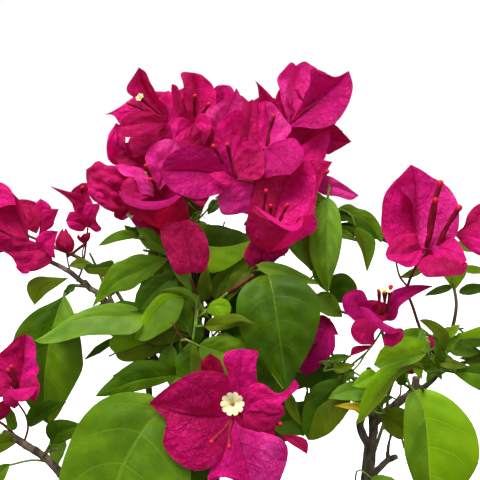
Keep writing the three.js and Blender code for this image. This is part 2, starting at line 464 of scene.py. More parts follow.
def stemSkin(skinName, look):
    skin, tree = newSkin(skinName)
    grain = node(tree, "ShaderNodeMapping")
    grain.inputs["Scale"].default_value = (1, 1, look["stretch"])
    wire(tree, objectPlace(tree), grain.inputs["Vector"])
    streak = speckle(tree, grain.outputs[0], look["scale"], 5.0, 0.65)
    patch = speckle(tree, objectPlace(tree), look["scale"] * 0.3, 3.0)
    colour = blend(tree, ramp(tree, streak, 0.35, 0.65), look["deep"], look["face"])
    colour = blend(tree, scaled(tree, ramp(tree, patch, 0.5, 0.7), 0.6), colour, look["patch"])
    surface = makeSurface(tree, colour, look["rough"], 0.3, streak, look["bump"], 0.0006)
    closeSkin(tree, surface.outputs[0])
    return skin


def tone(colour):
    # a colour given as it looks on a screen, 0 to 255
    return tuple(round((c / 255) ** 2.2, 5) for c in colour)


def looksOf(parts, rows):
    return {
        name: {part: tone(value) if isinstance(value, tuple) else value for part, value in zip(parts, row)}
        for name, row in rows.items()
    }


leafParts = ("deep", "face", "edge", "vein", "under", "underVein", "through", "thin", "rough", "gloss")
# Leaf tints: lime, olive and yellow are the leaves' own greens; dark and light are partly the leaves' own
# tone and partly painted shade and painted light, given to leaves and halves that lie in shade or in light.
leafLooks = looksOf(leafParts, {
    "dark": ((50, 80, 0), (72, 103, 2), (78, 112, 2), (92, 124, 16), (90, 112, 14), (116, 134, 36),
        (94, 134, 0), 0.16, 0.36, 0.17),
    "mid": ((76, 111, 6), (102, 138, 18), (108, 146, 14), (122, 156, 44), (106, 130, 18), (134, 152, 48),
        (124, 164, 0), 0.2, 0.38, 0.22),
    "light": ((96, 140, 24), (118, 158, 44), (126, 166, 34), (142, 178, 64), (100, 122, 12), (130, 148, 42),
        (130, 160, 2), 0.22, 0.4, 0.28),
    "lime": ((110, 156, 0), (132, 176, 2), (142, 186, 4), (158, 196, 40), (124, 150, 18), (150, 170, 52),
        (154, 190, 0), 0.26, 0.4, 0.22),
    "olive": ((76, 94, 0), (98, 118, 2), (106, 124, 4), (124, 140, 28), (96, 112, 4), (126, 140, 34),
        (120, 134, 0), 0.24, 0.46, 0.18),
    "yellow": ((166, 146, 6), (196, 168, 12), (202, 172, 16), (210, 188, 56), (180, 156, 22), (198, 178, 56),
        (202, 172, 4), 0.26, 0.46, 0.28),
})
# Bract tints are one magenta painted at several levels of light: the two lightest carry painted light, deep
# and ember carry painted shade (ember with red light through it), rose stands for light shining through the
# sheet, and violet is a bluer magenta. The bloom colour is a painted sheen, laid on as flecks.
bractParts = ("deep", "face", "vein", "bloom", "through", "thin")
bractLooks = looksOf(bractParts, {
    "bright": ((202, 2, 100), (232, 18, 134), (172, 2, 84), (238, 84, 170), (236, 2, 92), 0.3),
    "pale": ((214, 22, 126), (234, 60, 156), (190, 12, 104), (242, 130, 200), (240, 16, 110), 0.3),
    "deep": ((164, 0, 74), (197, 3, 97), (130, 0, 52), (210, 40, 130), (210, 0, 66), 0.28),
    "violet": ((162, 0, 88), (195, 1, 113), (120, 0, 60), (208, 40, 150), (212, 0, 84), 0.28),
    "ember": ((144, 2, 48), (177, 7, 71), (112, 2, 34), (190, 40, 96), (200, 4, 52), 0.34),
    "rose": ((175, 12, 73), (202, 27, 94), (140, 8, 54), (214, 80, 130), (218, 20, 70), 0.34),
})
stemParts = ("deep", "face", "patch", "scale", "stretch", "bump", "rough")
stemLooks = looksOf(stemParts, {
    "bark": ((58, 46, 38), (128, 112, 96), (92, 88, 70), 260, 0.3, 0.9, 0.85),
    "twig": ((72, 62, 34), (118, 108, 62), (92, 104, 44), 420, 0.35, 0.5, 0.7),
    "greenStalk": ((76, 104, 28), (112, 142, 48), (120, 110, 50), 500, 0.5, 0.2, 0.55),
    "redStalk": ((84, 30, 30), (128, 54, 46), (110, 76, 44), 500, 0.5, 0.2, 0.6),
    "flowerTube": ((96, 2, 28), (140, 6, 44), (158, 12, 56), 600, 0.4, 0.3, 0.55),
    "flowerTip": ((164, 4, 36), (196, 18, 52), (206, 40, 60), 700, 1.0, 0.2, 0.5),
    "flowerCream": ((222, 208, 140), (246, 236, 196), (236, 222, 166), 900, 1.0, 0.15, 0.6),
    "flowerEye": ((150, 120, 30), (186, 156, 50), (120, 100, 30), 900, 1.0, 0.3, 0.6),
})

skins = {}
for skinName, look in leafLooks.items():
    skins["leaf" + skinName.capitalize()] = leafSkin("leaf" + skinName.capitalize(), look)
for skinName, look in bractLooks.items():
    skins["bract" + skinName.capitalize()] = bractSkin("bract" + skinName.capitalize(), look)
for skinName, look in stemLooks.items():
    skins[skinName] = stemSkin(skinName, look)
print("skins made:", len(skins))


# Trunk and boughs: tubes melted into one skin of bark
trunk = {
    "foot": 8.6, "top": 7.2, "height": 40, "flare": 6.0, "flareHeight": 10,
    "roots": 5, "ridge": 0.35, "swell": 1.4, "swellReach": 9,
}
fork = (1, -1, groundDown + trunk["height"])

# path, radius at the foot, radius at the tip
boughs = {
    "centre": ([fork, (-8, 1, -185), (-15, 1, -110), (-17, 0, -60), (-15, 1, -38), (-12, 2, -20)], 5.0, 1.5),
    "right": ([fork, (30, 3, -205), (52, 3, -165), (59, 0, -126), (59.6, 0, -113), (61, 0, -95)], 4.8, 2.6),
    "leftLow": (
        [fork, (-30, -10, -200), (-60, -20, -140), (-80, -25, -100.8), (-95, -27, -87.2), (-104, -28, -81.5)],
        4.0, 1.6),
    "front": ([fork, (-6, -30, -198), (-14, -56, -135), (-15, -68, -98), (-10, -72, -74)], 3.8, 1.4),
    "backRight": ([fork, (38, 26, -200), (66, 40, -128), (66, 43, -70)], 4.3, 1.5),
    "backLeft": ([fork, (-22, 26, -198), (-42, 48, -130), (-50, 52, -58)], 4.1, 1.4),
    "rightHigh": (
        [(62, 0, -87), (67.5, -2, -80.5), (74, -4, -74.5), (80, -5, -69), (81, -5, -62.5)], 2.2, 1.8),
    "rightTip": (
        [(79, -5, -70), (85, -6, -67), (90.5, -8, -60.5), (93.6, -9, -52.5), (92, -9, -46)], 1.4, 1.0),
    "rightFar": ([(90, -8, -61), (97, -10, -56.5), (113, -12, -51)], 1.2, 0.8),
    "rightStub": ([(59, 0, -117), (63.5, -1, -109.5), (69.2, -2, -103.4), (73.4, -3, -101)], 1.7, 1.4),
    "rightStubTwig": ([(69, -2, -103), (69.2, -3, -96.5), (70.4, -3, -90)], 0.95, 0.8),
    "knotLeft": (
        [(60.8, 0, -97), (57.6, 0, -92), (56, 0, -86), (57.5, -1, -81.5), (63, -1, -80.5)], 2.0, 1.8),
    "knotRight": ([(61.6, 0, -96), (63.5, 0, -90.5), (63.3, 0, -83)], 1.5, 1.3),
    "leftHigh": (
        [(-15, 0, -104), (-30, -3, -68), (-60, -8, -28), (-69, -9, -20), (-77, -10, -13), (-86, -11, -8)],
        2.4, 1.1),
    "leftHighSpur": ([(-67, -9, -22), (-70, -9, -17)], 1.5, 0.9),
    "innerLeft": ([(-24, -4, -84), (-27, -6, -62), (-31, -6, -46), (-34, -4, -34)], 1.6, 0.9),
    "topLeft": ([(-14, 1, -30), (-26, -2, -6), (-33, -6, 20), (-34, -10, 44)], 1.4, 0.8),
    "topMiddle": ([(-12, 2, -22), (0, 1, -9), (9, 0, 3), (10, -3, 20), (6, -6, 36), (6, -6, 50)], 1.4, 0.8),
    "topRight": ([(0, 1, -9), (13, 1, 6), (24, -2, 36), (24, -4, 52)], 1.3, 0.8),
}


melting = {"cell": 0.62, "rounds": 3, "factor": 0.4}
# height of the relief, and how close it lies across and along the limb
barkRidges = ((0.34, 620, 120), (0.2, 1300, 420), (0.3, 160, 160))
# rings where leaves have dropped
barkRings = {"height": 0.16, "close": 640, "waver": 3, "grain": 60, "sharp": 6}
# metres: what counts as the foot, and where the relief grows lower towards the top
carving = {"foot": 0.0012, "below": 0.05, "within": 0.12, "least": 0.45}


def addTrunk():
    line = [(0, 0, groundDown), (0.5, -0.5, groundDown + trunk["height"] / 2), fork]
    addTube("bark", line, trunk["foot"], trunk["top"], sides=40, step=2.0)
    column = sprays["bark"]["points"][-1]
    height = column[:, 2] - groundDown
    turn = np.arctan2(column[:, 1], column[:, 0])
    ridges = 1 + trunk["ridge"] * np.cos(trunk["roots"] * turn)
    swell = trunk["swell"] * np.exp(-(((height - trunk["height"]) / trunk["swellReach"]) ** 2))
    spread = trunk["flare"] * np.exp(-height / trunk["flareHeight"]) * ridges + swell
    reach = np.hypot(column[:, 0], column[:, 1])
    wide = np.where(reach > 1, (reach + spread) / np.maximum(reach, 1e-6), 1)
    column[:, 0] *= wide
    column[:, 1] *= wide


def melt(piece):
    remesh = piece.modifiers.new("melt", "REMESH")
    remesh.mode = "VOXEL"
    remesh.voxel_size = melting["cell"] * mm
    remesh.use_smooth_shade = True
    smooth = piece.modifiers.new("soften", "SMOOTH")
    smooth.iterations = melting["rounds"]
    smooth.factor = melting["factor"]
    melted = bpy.data.meshes.new_from_object(piece.evaluated_get(bpy.context.evaluated_depsgraph_get()))
    piece.modifiers.clear()
    piece.data = melted
    melted.name = "bark"
    return melted


def barkRelief(x, y, z):
    ridges = sum(h * noise.noise((x * wide, y * wide, z * along)) for h, wide, along in barkRidges)
    grain = barkRings["grain"]
    waver = barkRings["waver"] * noise.noise((x * grain, y * grain, z * grain))
    rings = max(0, math.sin(z * barkRings["close"] + waver)) ** barkRings["sharp"]
    return ridges + barkRings["height"] * rings


def carveBark(melted):
    count = len(melted.vertices)
    places = np.empty(count * 3)
    normals = np.empty(count * 3)
    melted.vertices.foreach_get("co", places)
    melted.vertex_normals.foreach_get("vector", normals)
    places, normals = places.reshape(-1, 3), normals.reshape(-1, 3)
    ground = places[:, 2] < carving["foot"]
    relief = np.array([barkRelief(*place) for place in places])
    depth = (crownMiddle.z - carving["below"] - places[:, 2]) / carving["within"]
    thin = carving["least"] + (1 - carving["least"]) * np.clip(depth, 0, 1)
    places = places + normals * (relief * thin * mm)[:, None]
    places[ground, 2] = np.maximum(places[ground, 2], 0)
    places[:, 2] = np.maximum(places[:, 2], 0)
    melted.vertices.foreach_set("co", places.ravel())
    melted.update()


def buildBark():
    addTrunk()
    for path, foot, tip in boughs.values():
        addTube("bark", path, foot, tip, sides=16, step=2.5)
    piece = joinSpray("bark", None)
    melted = melt(piece)
    carveBark(melted)
    melted.materials.append(skins["bark"])
    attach(piece, "root")
    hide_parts(*[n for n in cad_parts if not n.startswith(("leaves_", "bloom_"))])
    print("bark melted:", len(melted.polygons), "faces")


buildBark()

limbLines = {key: smoothPath(value[0], 4.0) for key, value in boughs.items()}


def nearestOnLimbs(place):
    # wood that stands above the place counts as further away
    best, near = 1e9, None
    for points in limbLines.values():
        gaps = np.linalg.norm(points - place, axis=1) + np.where(points[:, 2] > place[2] + 4, 40, 0)
        i = int(gaps.argmin())
        if gaps[i] < best:
            best, near = gaps[i], points[max(0, i - 6) : i + 1]
    return near


# Thin stems that show from the front: path, radius at the foot, radius at the tip, skin
frontStems = {
    "bloomStalkRight": ([(90, -10, -54), (81, -18, -40), (76, -22, -28), (73, -24, -18), (77, -28, -5)], 0.75,
        0.6, "redStalk"),
    "bloomStalkRightSide": ([(73, -24, -18), (69, -26, -13), (67, -27, -6)], 0.5, 0.4, "redStalk"),
    "uprightTwig": ([(93, -9, -52), (96, -11, -38), (97.3, -11, -28), (96, -10, -19)], 1.0, 0.7, "twig"),
    "lowArch": (
        [(85, -6, -67), (87.5, -14, -60), (90, -24, -55.5), (93, -30, -54.5)], 0.6, 0.5, "greenStalk"),
    "middleRightStalk": ([(48, -16, -56), (56, -22, -47), (61, -26, -38), (62, -28, -34)], 0.5, 0.45, "twig"),
    "middleRightTwig": ([(60, -1, -80), (54, -8, -66), (48, -14, -57), (42, -16, -52)], 1.0, 0.5, "twig"),
    "shieldStalk": ([(-12, 0, -22), (-2, -14, -16), (8, -28, -10), (12, -35, -12)], 0.8, 0.6, "greenStalk"),
    "hangingStalk": (
        [(-15, -2, -24), (-17, -22, -22), (-19, -34, -18), (-21, -40, -11)], 0.6, 0.5, "redStalk"),
    "cupStalk": ([(-13, -4, -23), (-6, -14, -20), (2, -22, -14), (8, -26, -8)], 0.6, 0.55, "redStalk"),
    "deadTwig": ([(-15, -8, -22), (-19, -12, -17), (-21, -13, -14)], 0.5, 0.3, "bark"),
    "thinRed": (
        [(-22, -22, -47), (-23.3, -34, -40.7), (-26, -36, -36), (-29, -36, -31)], 0.45, 0.35, "redStalk"),
    "leftClusterStalk": ([(-77, -10, -13), (-84, -10, -9), (-92, -9, -4)], 0.8, 0.6, "redStalk"),
    "budStalk": ([(-76, -10, -14), (-77, -10, -10), (-78, -10, -4)], 0.4, 0.35, "redStalk"),
    "smallBloomStalk": (
        [(-73.5, -9, -18), (-71.2, -8, -12), (-70, -6, -4), (-69, -4, 6)], 0.5, 0.4, "redStalk"),
    "tinyBudStalk": ([(-71, -7, -10), (-71, -7, -4), (-69.6, -6, -0.5)], 0.35, 0.3, "redStalk"),
    "bigLeafStalk": ([(-70, -9, -20), (-77, -8, -20), (-79, -4, -24)], 0.8, 0.7, "twig"),
    "lowLeftStalk": (
        [(-95, -27, -87), (-93, -27, -80), (-94, -27, -74), (-98, -28, -67)], 0.55, 0.45, "redStalk"),
    "lowLeftShoot": ([(-96, -27, -87), (-102, -27, -80), (-108, -26, -76)], 0.9, 0.6, "redStalk"),
    "lowLeftUnder": ([(-84, -26, -95.7), (-92, -27, -94.7), (-102, -28, -96.7)], 0.55, 0.5, "greenStalk"),
    "lowLeftSide": ([(-88, -26, -94), (-82, -34, -88), (-78, -38, -86)], 0.5, 0.4, "twig"),
    "clusterStalkLeft": (
        [(-33, -6, 14), (-41, -14, 8), (-48, -20, 12), (-50, -17, 20)], 0.5, 0.4, "redStalk"),
    "clusterStalkLow": ([(-22, -2, 0), (-25, -16, 8), (-30, -24, 16)], 0.6, 0.5, "redStalk"),
    "curlHigh": (
        [(-22, -28, 19), (-20, -30, 16.8), (-16.8, -31, 14.6), (-13.7, -30, 11.5)], 0.35, 0.15, "redStalk"),
    "curlLow": ([(-22, -28, 9), (-20, -30, 11), (-17, -31, 13.4), (-15, -30, 14.2)], 0.35, 0.15, "redStalk"),
    "topStub": ([(-36, -12, -5), (-43, -14, -3)], 0.8, 0.5, "twig"),
    "nodeStalk": ([(-15, -2, -27), (-12, -14, -25), (-5, -26, -20), (6, -30, -12)], 0.95, 0.8, "redStalk"),
}
for path, foot, tip, skinName in frontStems.values():
    addTube("stems" + skinName[0].upper() + skinName[1:], path, foot, tip, sides=8, step=1.5)


# Drawn sheets: a leaf or a bract is given by its midrib and its two edges
halfSheet = gridSheet(30, 9)


def evenPath(points, share):
    path = smoothPath(points, 0.5)
    steps = np.linalg.norm(np.diff(path, axis=0), axis=1)
    travelled = np.concatenate([[0], np.cumsum(steps)]) / steps.sum()
    return np.stack([np.interp(share, travelled, path[:, k]) for k in range(3)], axis=1)


def seenFromFront(points):
    down = math.radians(crownView["lookDown"])
    depth = crownView["distance"] + points[:, 1] * math.cos(down) - points[:, 2] * math.sin(down)
    high = points[:, 2] * math.cos(down) + points[:, 1] * math.sin(down)
    scale = crownView["distance"] / depth
    return points[:, 0] * scale, high * scale


# How far forward the drawn pieces stand when the bush is seen from the front, in cells of a millimetre.
# The leaves and blooms that are grown by chance stay behind them, so the gaps in the crown stay open.
cover = {"left": -125, "low": -130, "wide": 250, "high": 230, "frameLow": -112, "frameSide": 112}
frontCover = np.full((cover["high"], cover["wide"]), 999.0)


def cellsOf(points):
    x, z = seenFromFront(points)
    column = np.clip(np.round(x).astype(int) - cover["left"], 0, cover["wide"] - 1)
    row = np.clip(np.round(z).astype(int) - cover["low"], 0, cover["high"] - 1)
    return row, column, (z < cover["frameLow"]) | (np.abs(x) > cover["frameSide"])


def coverFront(points, faces):
    corners = points[faces]
    for a in (0, 0.3, 0.65):
        for b in (0, 0.5):
            low = corners[:, 0] * (1 - a) + corners[:, 1] * a
            place = low * (1 - b) + (corners[:, 3] * (1 - a) + corners[:, 2] * a) * b
            row, column, _ = cellsOf(place)
            np.minimum.at(frontCover, (row, column), place[:, 1])


def hiddenShare(points):
    row, column, outside = cellsOf(points)
    return (frontCover[row, column] < points[:, 1] + 1) | outside


def drawSheet(sprayStem, tints, middle, first, second, liftOf):
    if isinstance(tints, str):
        tints = (tints, tints)
    s, t = halfSheet["s"], (halfSheet["t"] + 1) / 2
    middle = [np.array(p, float) for p in middle]
    rib = evenPath(middle, s)
    heading = evenPath(middle, np.minimum(s + 0.02, 1)) - evenPath(middle, np.maximum(s - 0.02, 0))
    # each half may take its own tint, darker for a half in shade and lighter for a lit one: painted shade and
    # painted light
    for sign, tint, edge in ((1, tints[0], first), (-1, tints[1], second)):
        rim = evenPath([middle[0], *[np.array(p, float) for p in edge], middle[-1]], s)
        across = rim - rib
        breadth = np.linalg.norm(across, axis=1)
        normal = np.cross(heading, across)
        towards = normal @ np.array([0.0, -1.0, 0.25])
        faces = halfSheet["faces"] if towards.sum() > 0 else halfSheet["faces"][:, ::-1]
        normal = normal * np.sign(towards)[:, None]
        normal = normal / np.maximum(np.linalg.norm(normal, axis=1), 1e-6)[:, None]
        fade = np.sqrt(np.clip(4 * s * (1 - s), 0, 1)) * np.clip(breadth / 9, 0, 1)
        # the two halves meet on the midrib
        lift = liftOf(s, t, sign, breadth) * fade * np.clip(t / 0.12, 0, 1)
        points = rib + across * t[:, None] + normal * lift[:, None]
        uv = np.stack([0.5 + 0.5 * sign * t, s], axis=1)
        addToSpray(sprayStem + tint.capitalize(), points, faces, uv)
        coverFront(points, faces)


# Larger leaves: tint (or one for each half), midrib from base to tip (right, back, up), left or upper edge
# and right or lower edge (right, up), how far the two rims stand behind the midrib, how much it is quilted
# A leaf or half that lies in shade is given a darker tint, and one in light a lighter tint: painted shade and
# painted light.
drawnLeaves = {
    "leftFlag": ("olive", [(-76.5, -12, -15.8), (-87, -13, -19.5), (-92, -13, -28)],
        [(-85, -15.3), (-90, -15), (-94, -17), (-95.3, -20), (-94.3, -24)],
        [(-82.5, -20), (-86, -22.3), (-89, -25.2)], 0, 0.3),
    "twinRight": (("dark", "olive"), [(-70, -12, -11.5), (-64, -12, -11.3), (-56, -12, -10.5)],
        [(-69, -9.3), (-64, -9.6), (-61, -8.5), (-57, -7.8)], [(-68, -13.8), (-63, -14.4), (-58, -14.5)], 0,
        0.2),
    "bigHanging": (("dark", "mid"),
        [(-79, -10, -24), (-84, -14, -38), (-87, -16, -55), (-88, -16, -70), (-86, -16, -82)],
        [(-82.5, -25.9), (-86, -27.5), (-90, -29.2), (-95, -33), (-99, -38), (-101, -43), (-102.5, -52),
         (-100, -63), (-95, -73), (-90, -79)], [(-76.8, -26.5), (-74, -31.5), (-71.5, -40), (-70.3, -48),
         (-69.8, -55), (-73, -62), (-77.5, -70), (-82, -78)], 0, 1.0),
    "shoulder": ("mid", [(-31, -26, -5.5), (-42, -28, -10), (-54, -29, -16), (-63.8, -29, -26.3)],
        [(-33, -4.6), (-38, -3.8), (-42, -3), (-46, -3.5), (-50, -5.5), (-54, -7), (-57, -11), (-59.5, -15),
         (-61, -19), (-62.5, -23)],
        [(-34, -9), (-38, -12), (-42, -15), (-46, -18), (-50, -19.2), (-54, -19.5), (-58, -22), (-62, -24.8)],
        0, 0.4),
    "finger": ("mid", [(-44, -26, 3.6), (-50, -28, 5.2), (-56, -28, 3.4), (-61, -28, 0.3)],
        [(-46, 6.5), (-49, 7.5), (-53, 6.5), (-57, 4.2)], [(-49, 3), (-53, 2.2), (-57, 1)], 0, 0.3),
    "collarLeft": (("mid", "light"), [(-31, -20, -4), (-37, -23, 1.5), (-42.8, -24, 7.5)],
        [(-31.5, 4), (-35, 8.5), (-40, 10.3)], [(-36, -3), (-41, -0.8), (-43.6, 3.5)], 0, 0.3),
    "longShelf": (("light", "mid"), [(-41, -26, -29), (-50, -28, -30.2), (-58, -29, -29.9), (-66, -30, -30.3),
         (-72, -30, -32), (-77, -30, -34.8), (-83, -30, -38.4), (-88.6, -30, -40.4)], [(-45, -26.5),
         (-50, -24.8), (-56, -24.4), (-62, -25.5), (-68, -27.5), (-74, -30.8), (-80, -35), (-85, -38.5)],
        [(-42, -34), (-46.3, -37.4), (-53.1, -37.6), (-61, -37.4), (-69, -38.4), (-76.5, -40.2),
         (-84, -41.1)], (1, -4), 0.3),
    "oliveUnder": (("lime", "olive"), [(-30, -20, -40), (-42, -24, -43), (-54.5, -26, -47)],
        [(-36, -35), (-46, -36), (-55, -39), (-57, -43.5)],
        [(-33, -46), (-42, -49.8), (-49, -50.8), (-53, -49.5)], -1, 0.4),
    "behindShoulder": ("dark", [(-28, -24, -13), (-37, -26, -20), (-44, -27, -28)],
        [(-33, -11.5), (-39, -13.3), (-43, -17), (-45.2, -22)], [(-27, -18), (-32, -25), (-39, -29)], -1,
        0.5),
    "limeCurl": (("lime", "mid"),
        [(-24, -26, -22), (-30, -28, -22.8), (-35, -29, -27), (-40, -30, -33.5), (-45.3, -31, -39.7)],
        [(-28, -20.5), (-32, -20), (-35, -20.8), (-39, -25), (-42.3, -30), (-44.3, -35)],
        [(-25, -27), (-28, -33), (-34, -37), (-40, -40)], (0, -2), 0.3),
    "youngArc": (("light", "olive"),
        [(-13, -30, -31), (-17, -29, -27), (-22, -28, -21.5), (-28, -28, -18.8), (-34.2, -28, -18.7)],
        [(-16, -25.5), (-20, -20.5), (-24, -17.6), (-29, -17.6)],
        [(-16, -29.5), (-21, -25.3), (-24.5, -21), (-29, -19.9)], 0, 0.1),
    "heartHigh": (("dark", "lime"), [(-20, -22, 1), (-12, -24, -0.3), (-4, -25, 0), (4.5, -26, 2.5)],
        [(-19, 9.5), (-14, 9), (-9, 9), (-4, 7.6), (1, 6)],
        [(-17, -7), (-13, -11.5), (-8, -10.7), (-4, -8.8), (0, -6), (3, -2.5)], (1, -1), 0.5),
    "heartLow": (("olive", "mid"), [(-11, -22, -24), (-8, -23, -16), (-2, -24, -9.5), (3.5, -25, -4.5)],
        [(-13, -20), (-12, -14.5), (-8, -10.8), (-3, -8)], [(-6, -22), (-1, -17), (3, -11.5), (3.8, -7)], 0,
        0.5),
    "limeSmall": ("lime", [(-14, -38, -26.5), (-10, -41, -23.5), (-3.5, -42, -24)],
        [(-12.5, -22.7), (-10, -20.7), (-7.5, -20), (-5, -21)],
        [(-12, -27.5), (-9, -29.5), (-6.8, -30.3), (-4.5, -27)], 0, 0.3),
    "oliveBlade": ("olive", [(-15, -38, -32.5), (-6, -44, -30.8), (0, -48, -28.5), (6.5, -50, -29.5)],
        [(-12, -28.5), (-5, -26.5), (-1, -25.8), (3, -27.3)],
        [(-12, -34.3), (-5, -32.5), (0, -30.6), (4, -30.4)], 0, 0.2),
    "innerOlive": ("olive", [(-23, -24, -39.5), (-32, -25, -37.5), (-44, -25, -37)],
        [(-26, -33), (-34, -30), (-42, -32)], [(-27, -41.5), (-34, -43.5), (-41, -42)], 0, 0.4),
    "innerMid": ("mid", [(-22, -26, -38), (-25.5, -26, -31.5), (-32, -27, -26.5)],
        [(-20.2, -32), (-21.5, -25), (-27, -22.5)], [(-25, -37), (-30, -33.5), (-34, -30)], 0, 0.4),
    "bowlLeft": (("dark", "olive"), [(-20, -34, -39), (-21, -35, -46), (-21, -36, -55)],
        [(-24, -42.5), (-27.5, -47), (-27.2, -52), (-24.5, -56)], [(-18, -43), (-15.5, -48), (-16.5, -53)], 0,
        0.3),
    "bowlRight": ("mid", [(-17.5, -40, -40.5), (-8, -41, -43), (2, -42, -48)],
        [(-14, -37.3), (-9, -35.9), (-4, -36.1), (1, -38), (5, -42.5)], [(-16, -46), (-10, -51), (-3, -53)],
        0, 0.4),
    "shieldMiddle": ("dark", [(12, -36, -11), (13.8, -41, -18), (15.3, -44, -28), (16.8, -45, -38),
         (18.3, -45, -48), (19.7, -46, -58.3)], [(8, -11.6), (4, -13.5), (1, -16), (-1, -19.5), (-1.6, -24),
         (-0.7, -30), (1, -36), (3.5, -41), (8, -46.5), (13, -52)], [(15, -10.8), (20, -11.2), (25, -12.5),
         (29, -15), (31.5, -18), (33, -22), (33, -27), (32, -33), (30, -39), (27.5, -44), (25, -49),
         (22.5, -53.5)], 2, 1.0),
    "belowShield": ("dark", [(12, -30, -46), (14, -32, -54), (17.5, -34, -63)],
        [(7, -50), (8, -57), (12, -62.5)], [(20, -50), (21, -57), (20, -62)], 0, 0.3),
    "uprightQuilt": (("mid", "light"), [(38, -22, 21), (37.5, -25, 8), (37.5, -26, -6), (38.5, -24, -20.5)],
        [(34, 18), (31.5, 12), (30, 4), (30.5, -5), (33, -12), (36, -17.5)],
        [(41, 18.5), (43, 14), (43.8, 7), (43.7, 0), (42.3, -6.5), (40.3, -13)], 1, 1.1),
    "besideQuilt": (("mid", "olive"), [(25, -22, 6), (27.5, -22, -1), (31, -22, -11.5)],
        [(21, 2), (21.5, -1.5), (25, -5.6), (29, -9.2)], [(30, 6), (32.5, 0), (33, -7)], 0, 0.4),
    "rightArch": (("mid", "dark"),
        [(43.5, -2, 14), (49, -4, 12.5), (55, -6, 10), (60, -7, 6), (63.6, -8, -0.5)],
        [(47, 16.3), (50, 16.7), (53, 15), (57, 14), (60, 12), (62.8, 8), (64.7, 3)],
        [(45.5, 9.8), (49, 8.8), (53, 6), (57, 4.5), (60.5, 2.2), (62.3, 0.5)], 0, 0.6),
    "rightDrop": (("olive", "mid"), [(52, -6, 7), (55.5, -7, 1), (57, -8, -6), (57.3, -8, -14)],
        [(51.5, 4), (52.4, 0.5), (54.6, -4), (56, -9)], [(57, 5), (60.8, 1), (60.7, -4), (58.8, -10)], 0,
        0.3),
    "rightRound": ("dark", [(41, -4, -25), (46.5, -5, -21.5), (53.3, -6, -22.5)],
        [(41, -17), (44.5, -14.7), (48, -14.8), (51, -17), (53, -20)], [(44, -28), (49, -28), (52.5, -26)], 0,
        0.3),
    "underBloom": ("lime", [(96.8, -8, -22.5), (96.5, -9, -16), (97, -9, -9)],
        [(94, -18.5), (91, -14), (93, -10)], [(100, -18), (102, -13.5), (101, -10)], 0, 0.3),
    "oliveBig": (("dark", "olive"), [(48, -30, -62), (40, -33, -65), (33, -34, -70), (29.3, -34, -83.3)],
        [(42, -57), (35, -57.5), (31, -60), (28.3, -65), (26.8, -71), (26.7, -78)],
        [(47.5, -69), (45, -72.5), (42, -76.5), (38, -80.3), (33, -83)], 0, 0.6),
    "behindOlive": ("dark", [(46, -20, -57), (34, -22, -60), (22, -23, -62)],
        [(40, -54), (31, -54.5), (25, -57)], [(42, -60), (34, -62.3), (27, -63.3)], 0, 0.3),
    "darkRound": ("dark", [(30, -30, -72), (23, -31, -75), (14, -32, -77.5)],
        [(27, -67), (21, -67), (16, -72)], [(28.5, -80.8), (23, -81.3), (17, -80.8)], -1, 0.3),
    "behindLobe": ("olive", [(60, -26, -73), (66, -28, -77), (74, -29, -82)],
        [(64, -71), (70, -70), (75, -74)], [(61.5, -76.5), (64, -81), (70, -84.5)], -1, 0.3),
    "limeWing": (("lime", "mid"), [(81, -32, -44.5), (72, -36, -46.3), (64, -38, -47.3), (56.5, -38, -49.3)],
        [(79.5, -41), (76, -38.7), (71, -37.4), (66, -37.8), (62.3, -39.7), (59.5, -42.5), (58, -45.5)],
        [(76, -47.8), (68, -50), (61, -51)], (0, -2), 0.5),
    "limeSickle": (("lime", "olive"), [(80, -30, -53.5), (76, -34, -50.5), (70, -37, -49.8), (65, -39, -53),
         (60, -41, -58), (56, -41, -64), (52.5, -41, -70), (49.5, -41, -74)],
        [(77, -49.5), (72, -47.2), (66, -47.2), (60, -49), (55, -53.5), (52, -60), (50.3, -66.5)],
        [(74, -51.5), (68, -53.7), (64, -58), (60, -63.5), (56, -67.5), (52.5, -71.8)], -1, 0.3),
    "stalkSide": ("olive", [(88, -32, -44), (85.5, -34, -36.5), (81, -35, -33), (75.7, -36, -30.2)],
        [(89.5, -38), (87, -34), (83, -31.2), (79, -30)], [(86.2, -41.5), (83.5, -37.8), (79.5, -33.6)], 0,
        0.2),
    "edgeLight": (("lime", "dark"), [(93, -30, -40), (98, -32, -39), (104, -33, -38.5), (114, -34, -38)],
        [(95, -37), (98, -35.3), (101, -34), (106, -33), (112, -33.5)],
        [(94.5, -42.8), (98, -43.2), (103, -42.5), (109, -42)], 0, 0.3),
    "edgeDark": (("dark", "mid"), [(92, -30, -54.5), (100, -33, -54), (114, -34, -57)],
        [(96, -51.8), (102, -49.5), (108, -49), (113, -51)],
        [(96, -57.5), (101, -60.5), (107, -63), (112, -63)], 0, 0.3),
    "rightLobe": (("mid", "lime"), [(75, -32, -62), (78, -36, -68), (79.5, -38, -77), (80.3, -39, -87),
         (81, -39, -97), (82.5, -38, -108), (85, -36, -121)], [(72, -63.5), (70.5, -67), (70, -72), (70, -79),
         (70.3, -86), (72, -93), (74.5, -100), (78, -108), (81, -115)], [(78.5, -60.8), (84, -61.5),
         (90, -64.7), (95.5, -70), (99.5, -76), (101.7, -83), (101.8, -90), (99.5, -97), (95, -106),
         (90, -114)], 2, 0.6),
    "darkTongue": (("dark", "mid"),
        [(-27, -30, -55.5), (-35, -34, -55.5), (-45, -35, -57), (-54, -35, -60.5), (-62.3, -34, -64)],
        [(-29, -51.5), (-33, -49), (-38, -48), (-44, -48.3), (-50, -51.5), (-55, -56), (-59.5, -60.5)],
        [(-31, -57.8), (-38, -60), (-45, -61.7), (-52, -62.8), (-58, -64)], 1, 0.3),
    "lowPoint": ("dark", [(-92, -28, -79.5), (-88, -30, -74.5), (-81, -31, -70), (-75, -31, -67.3)],
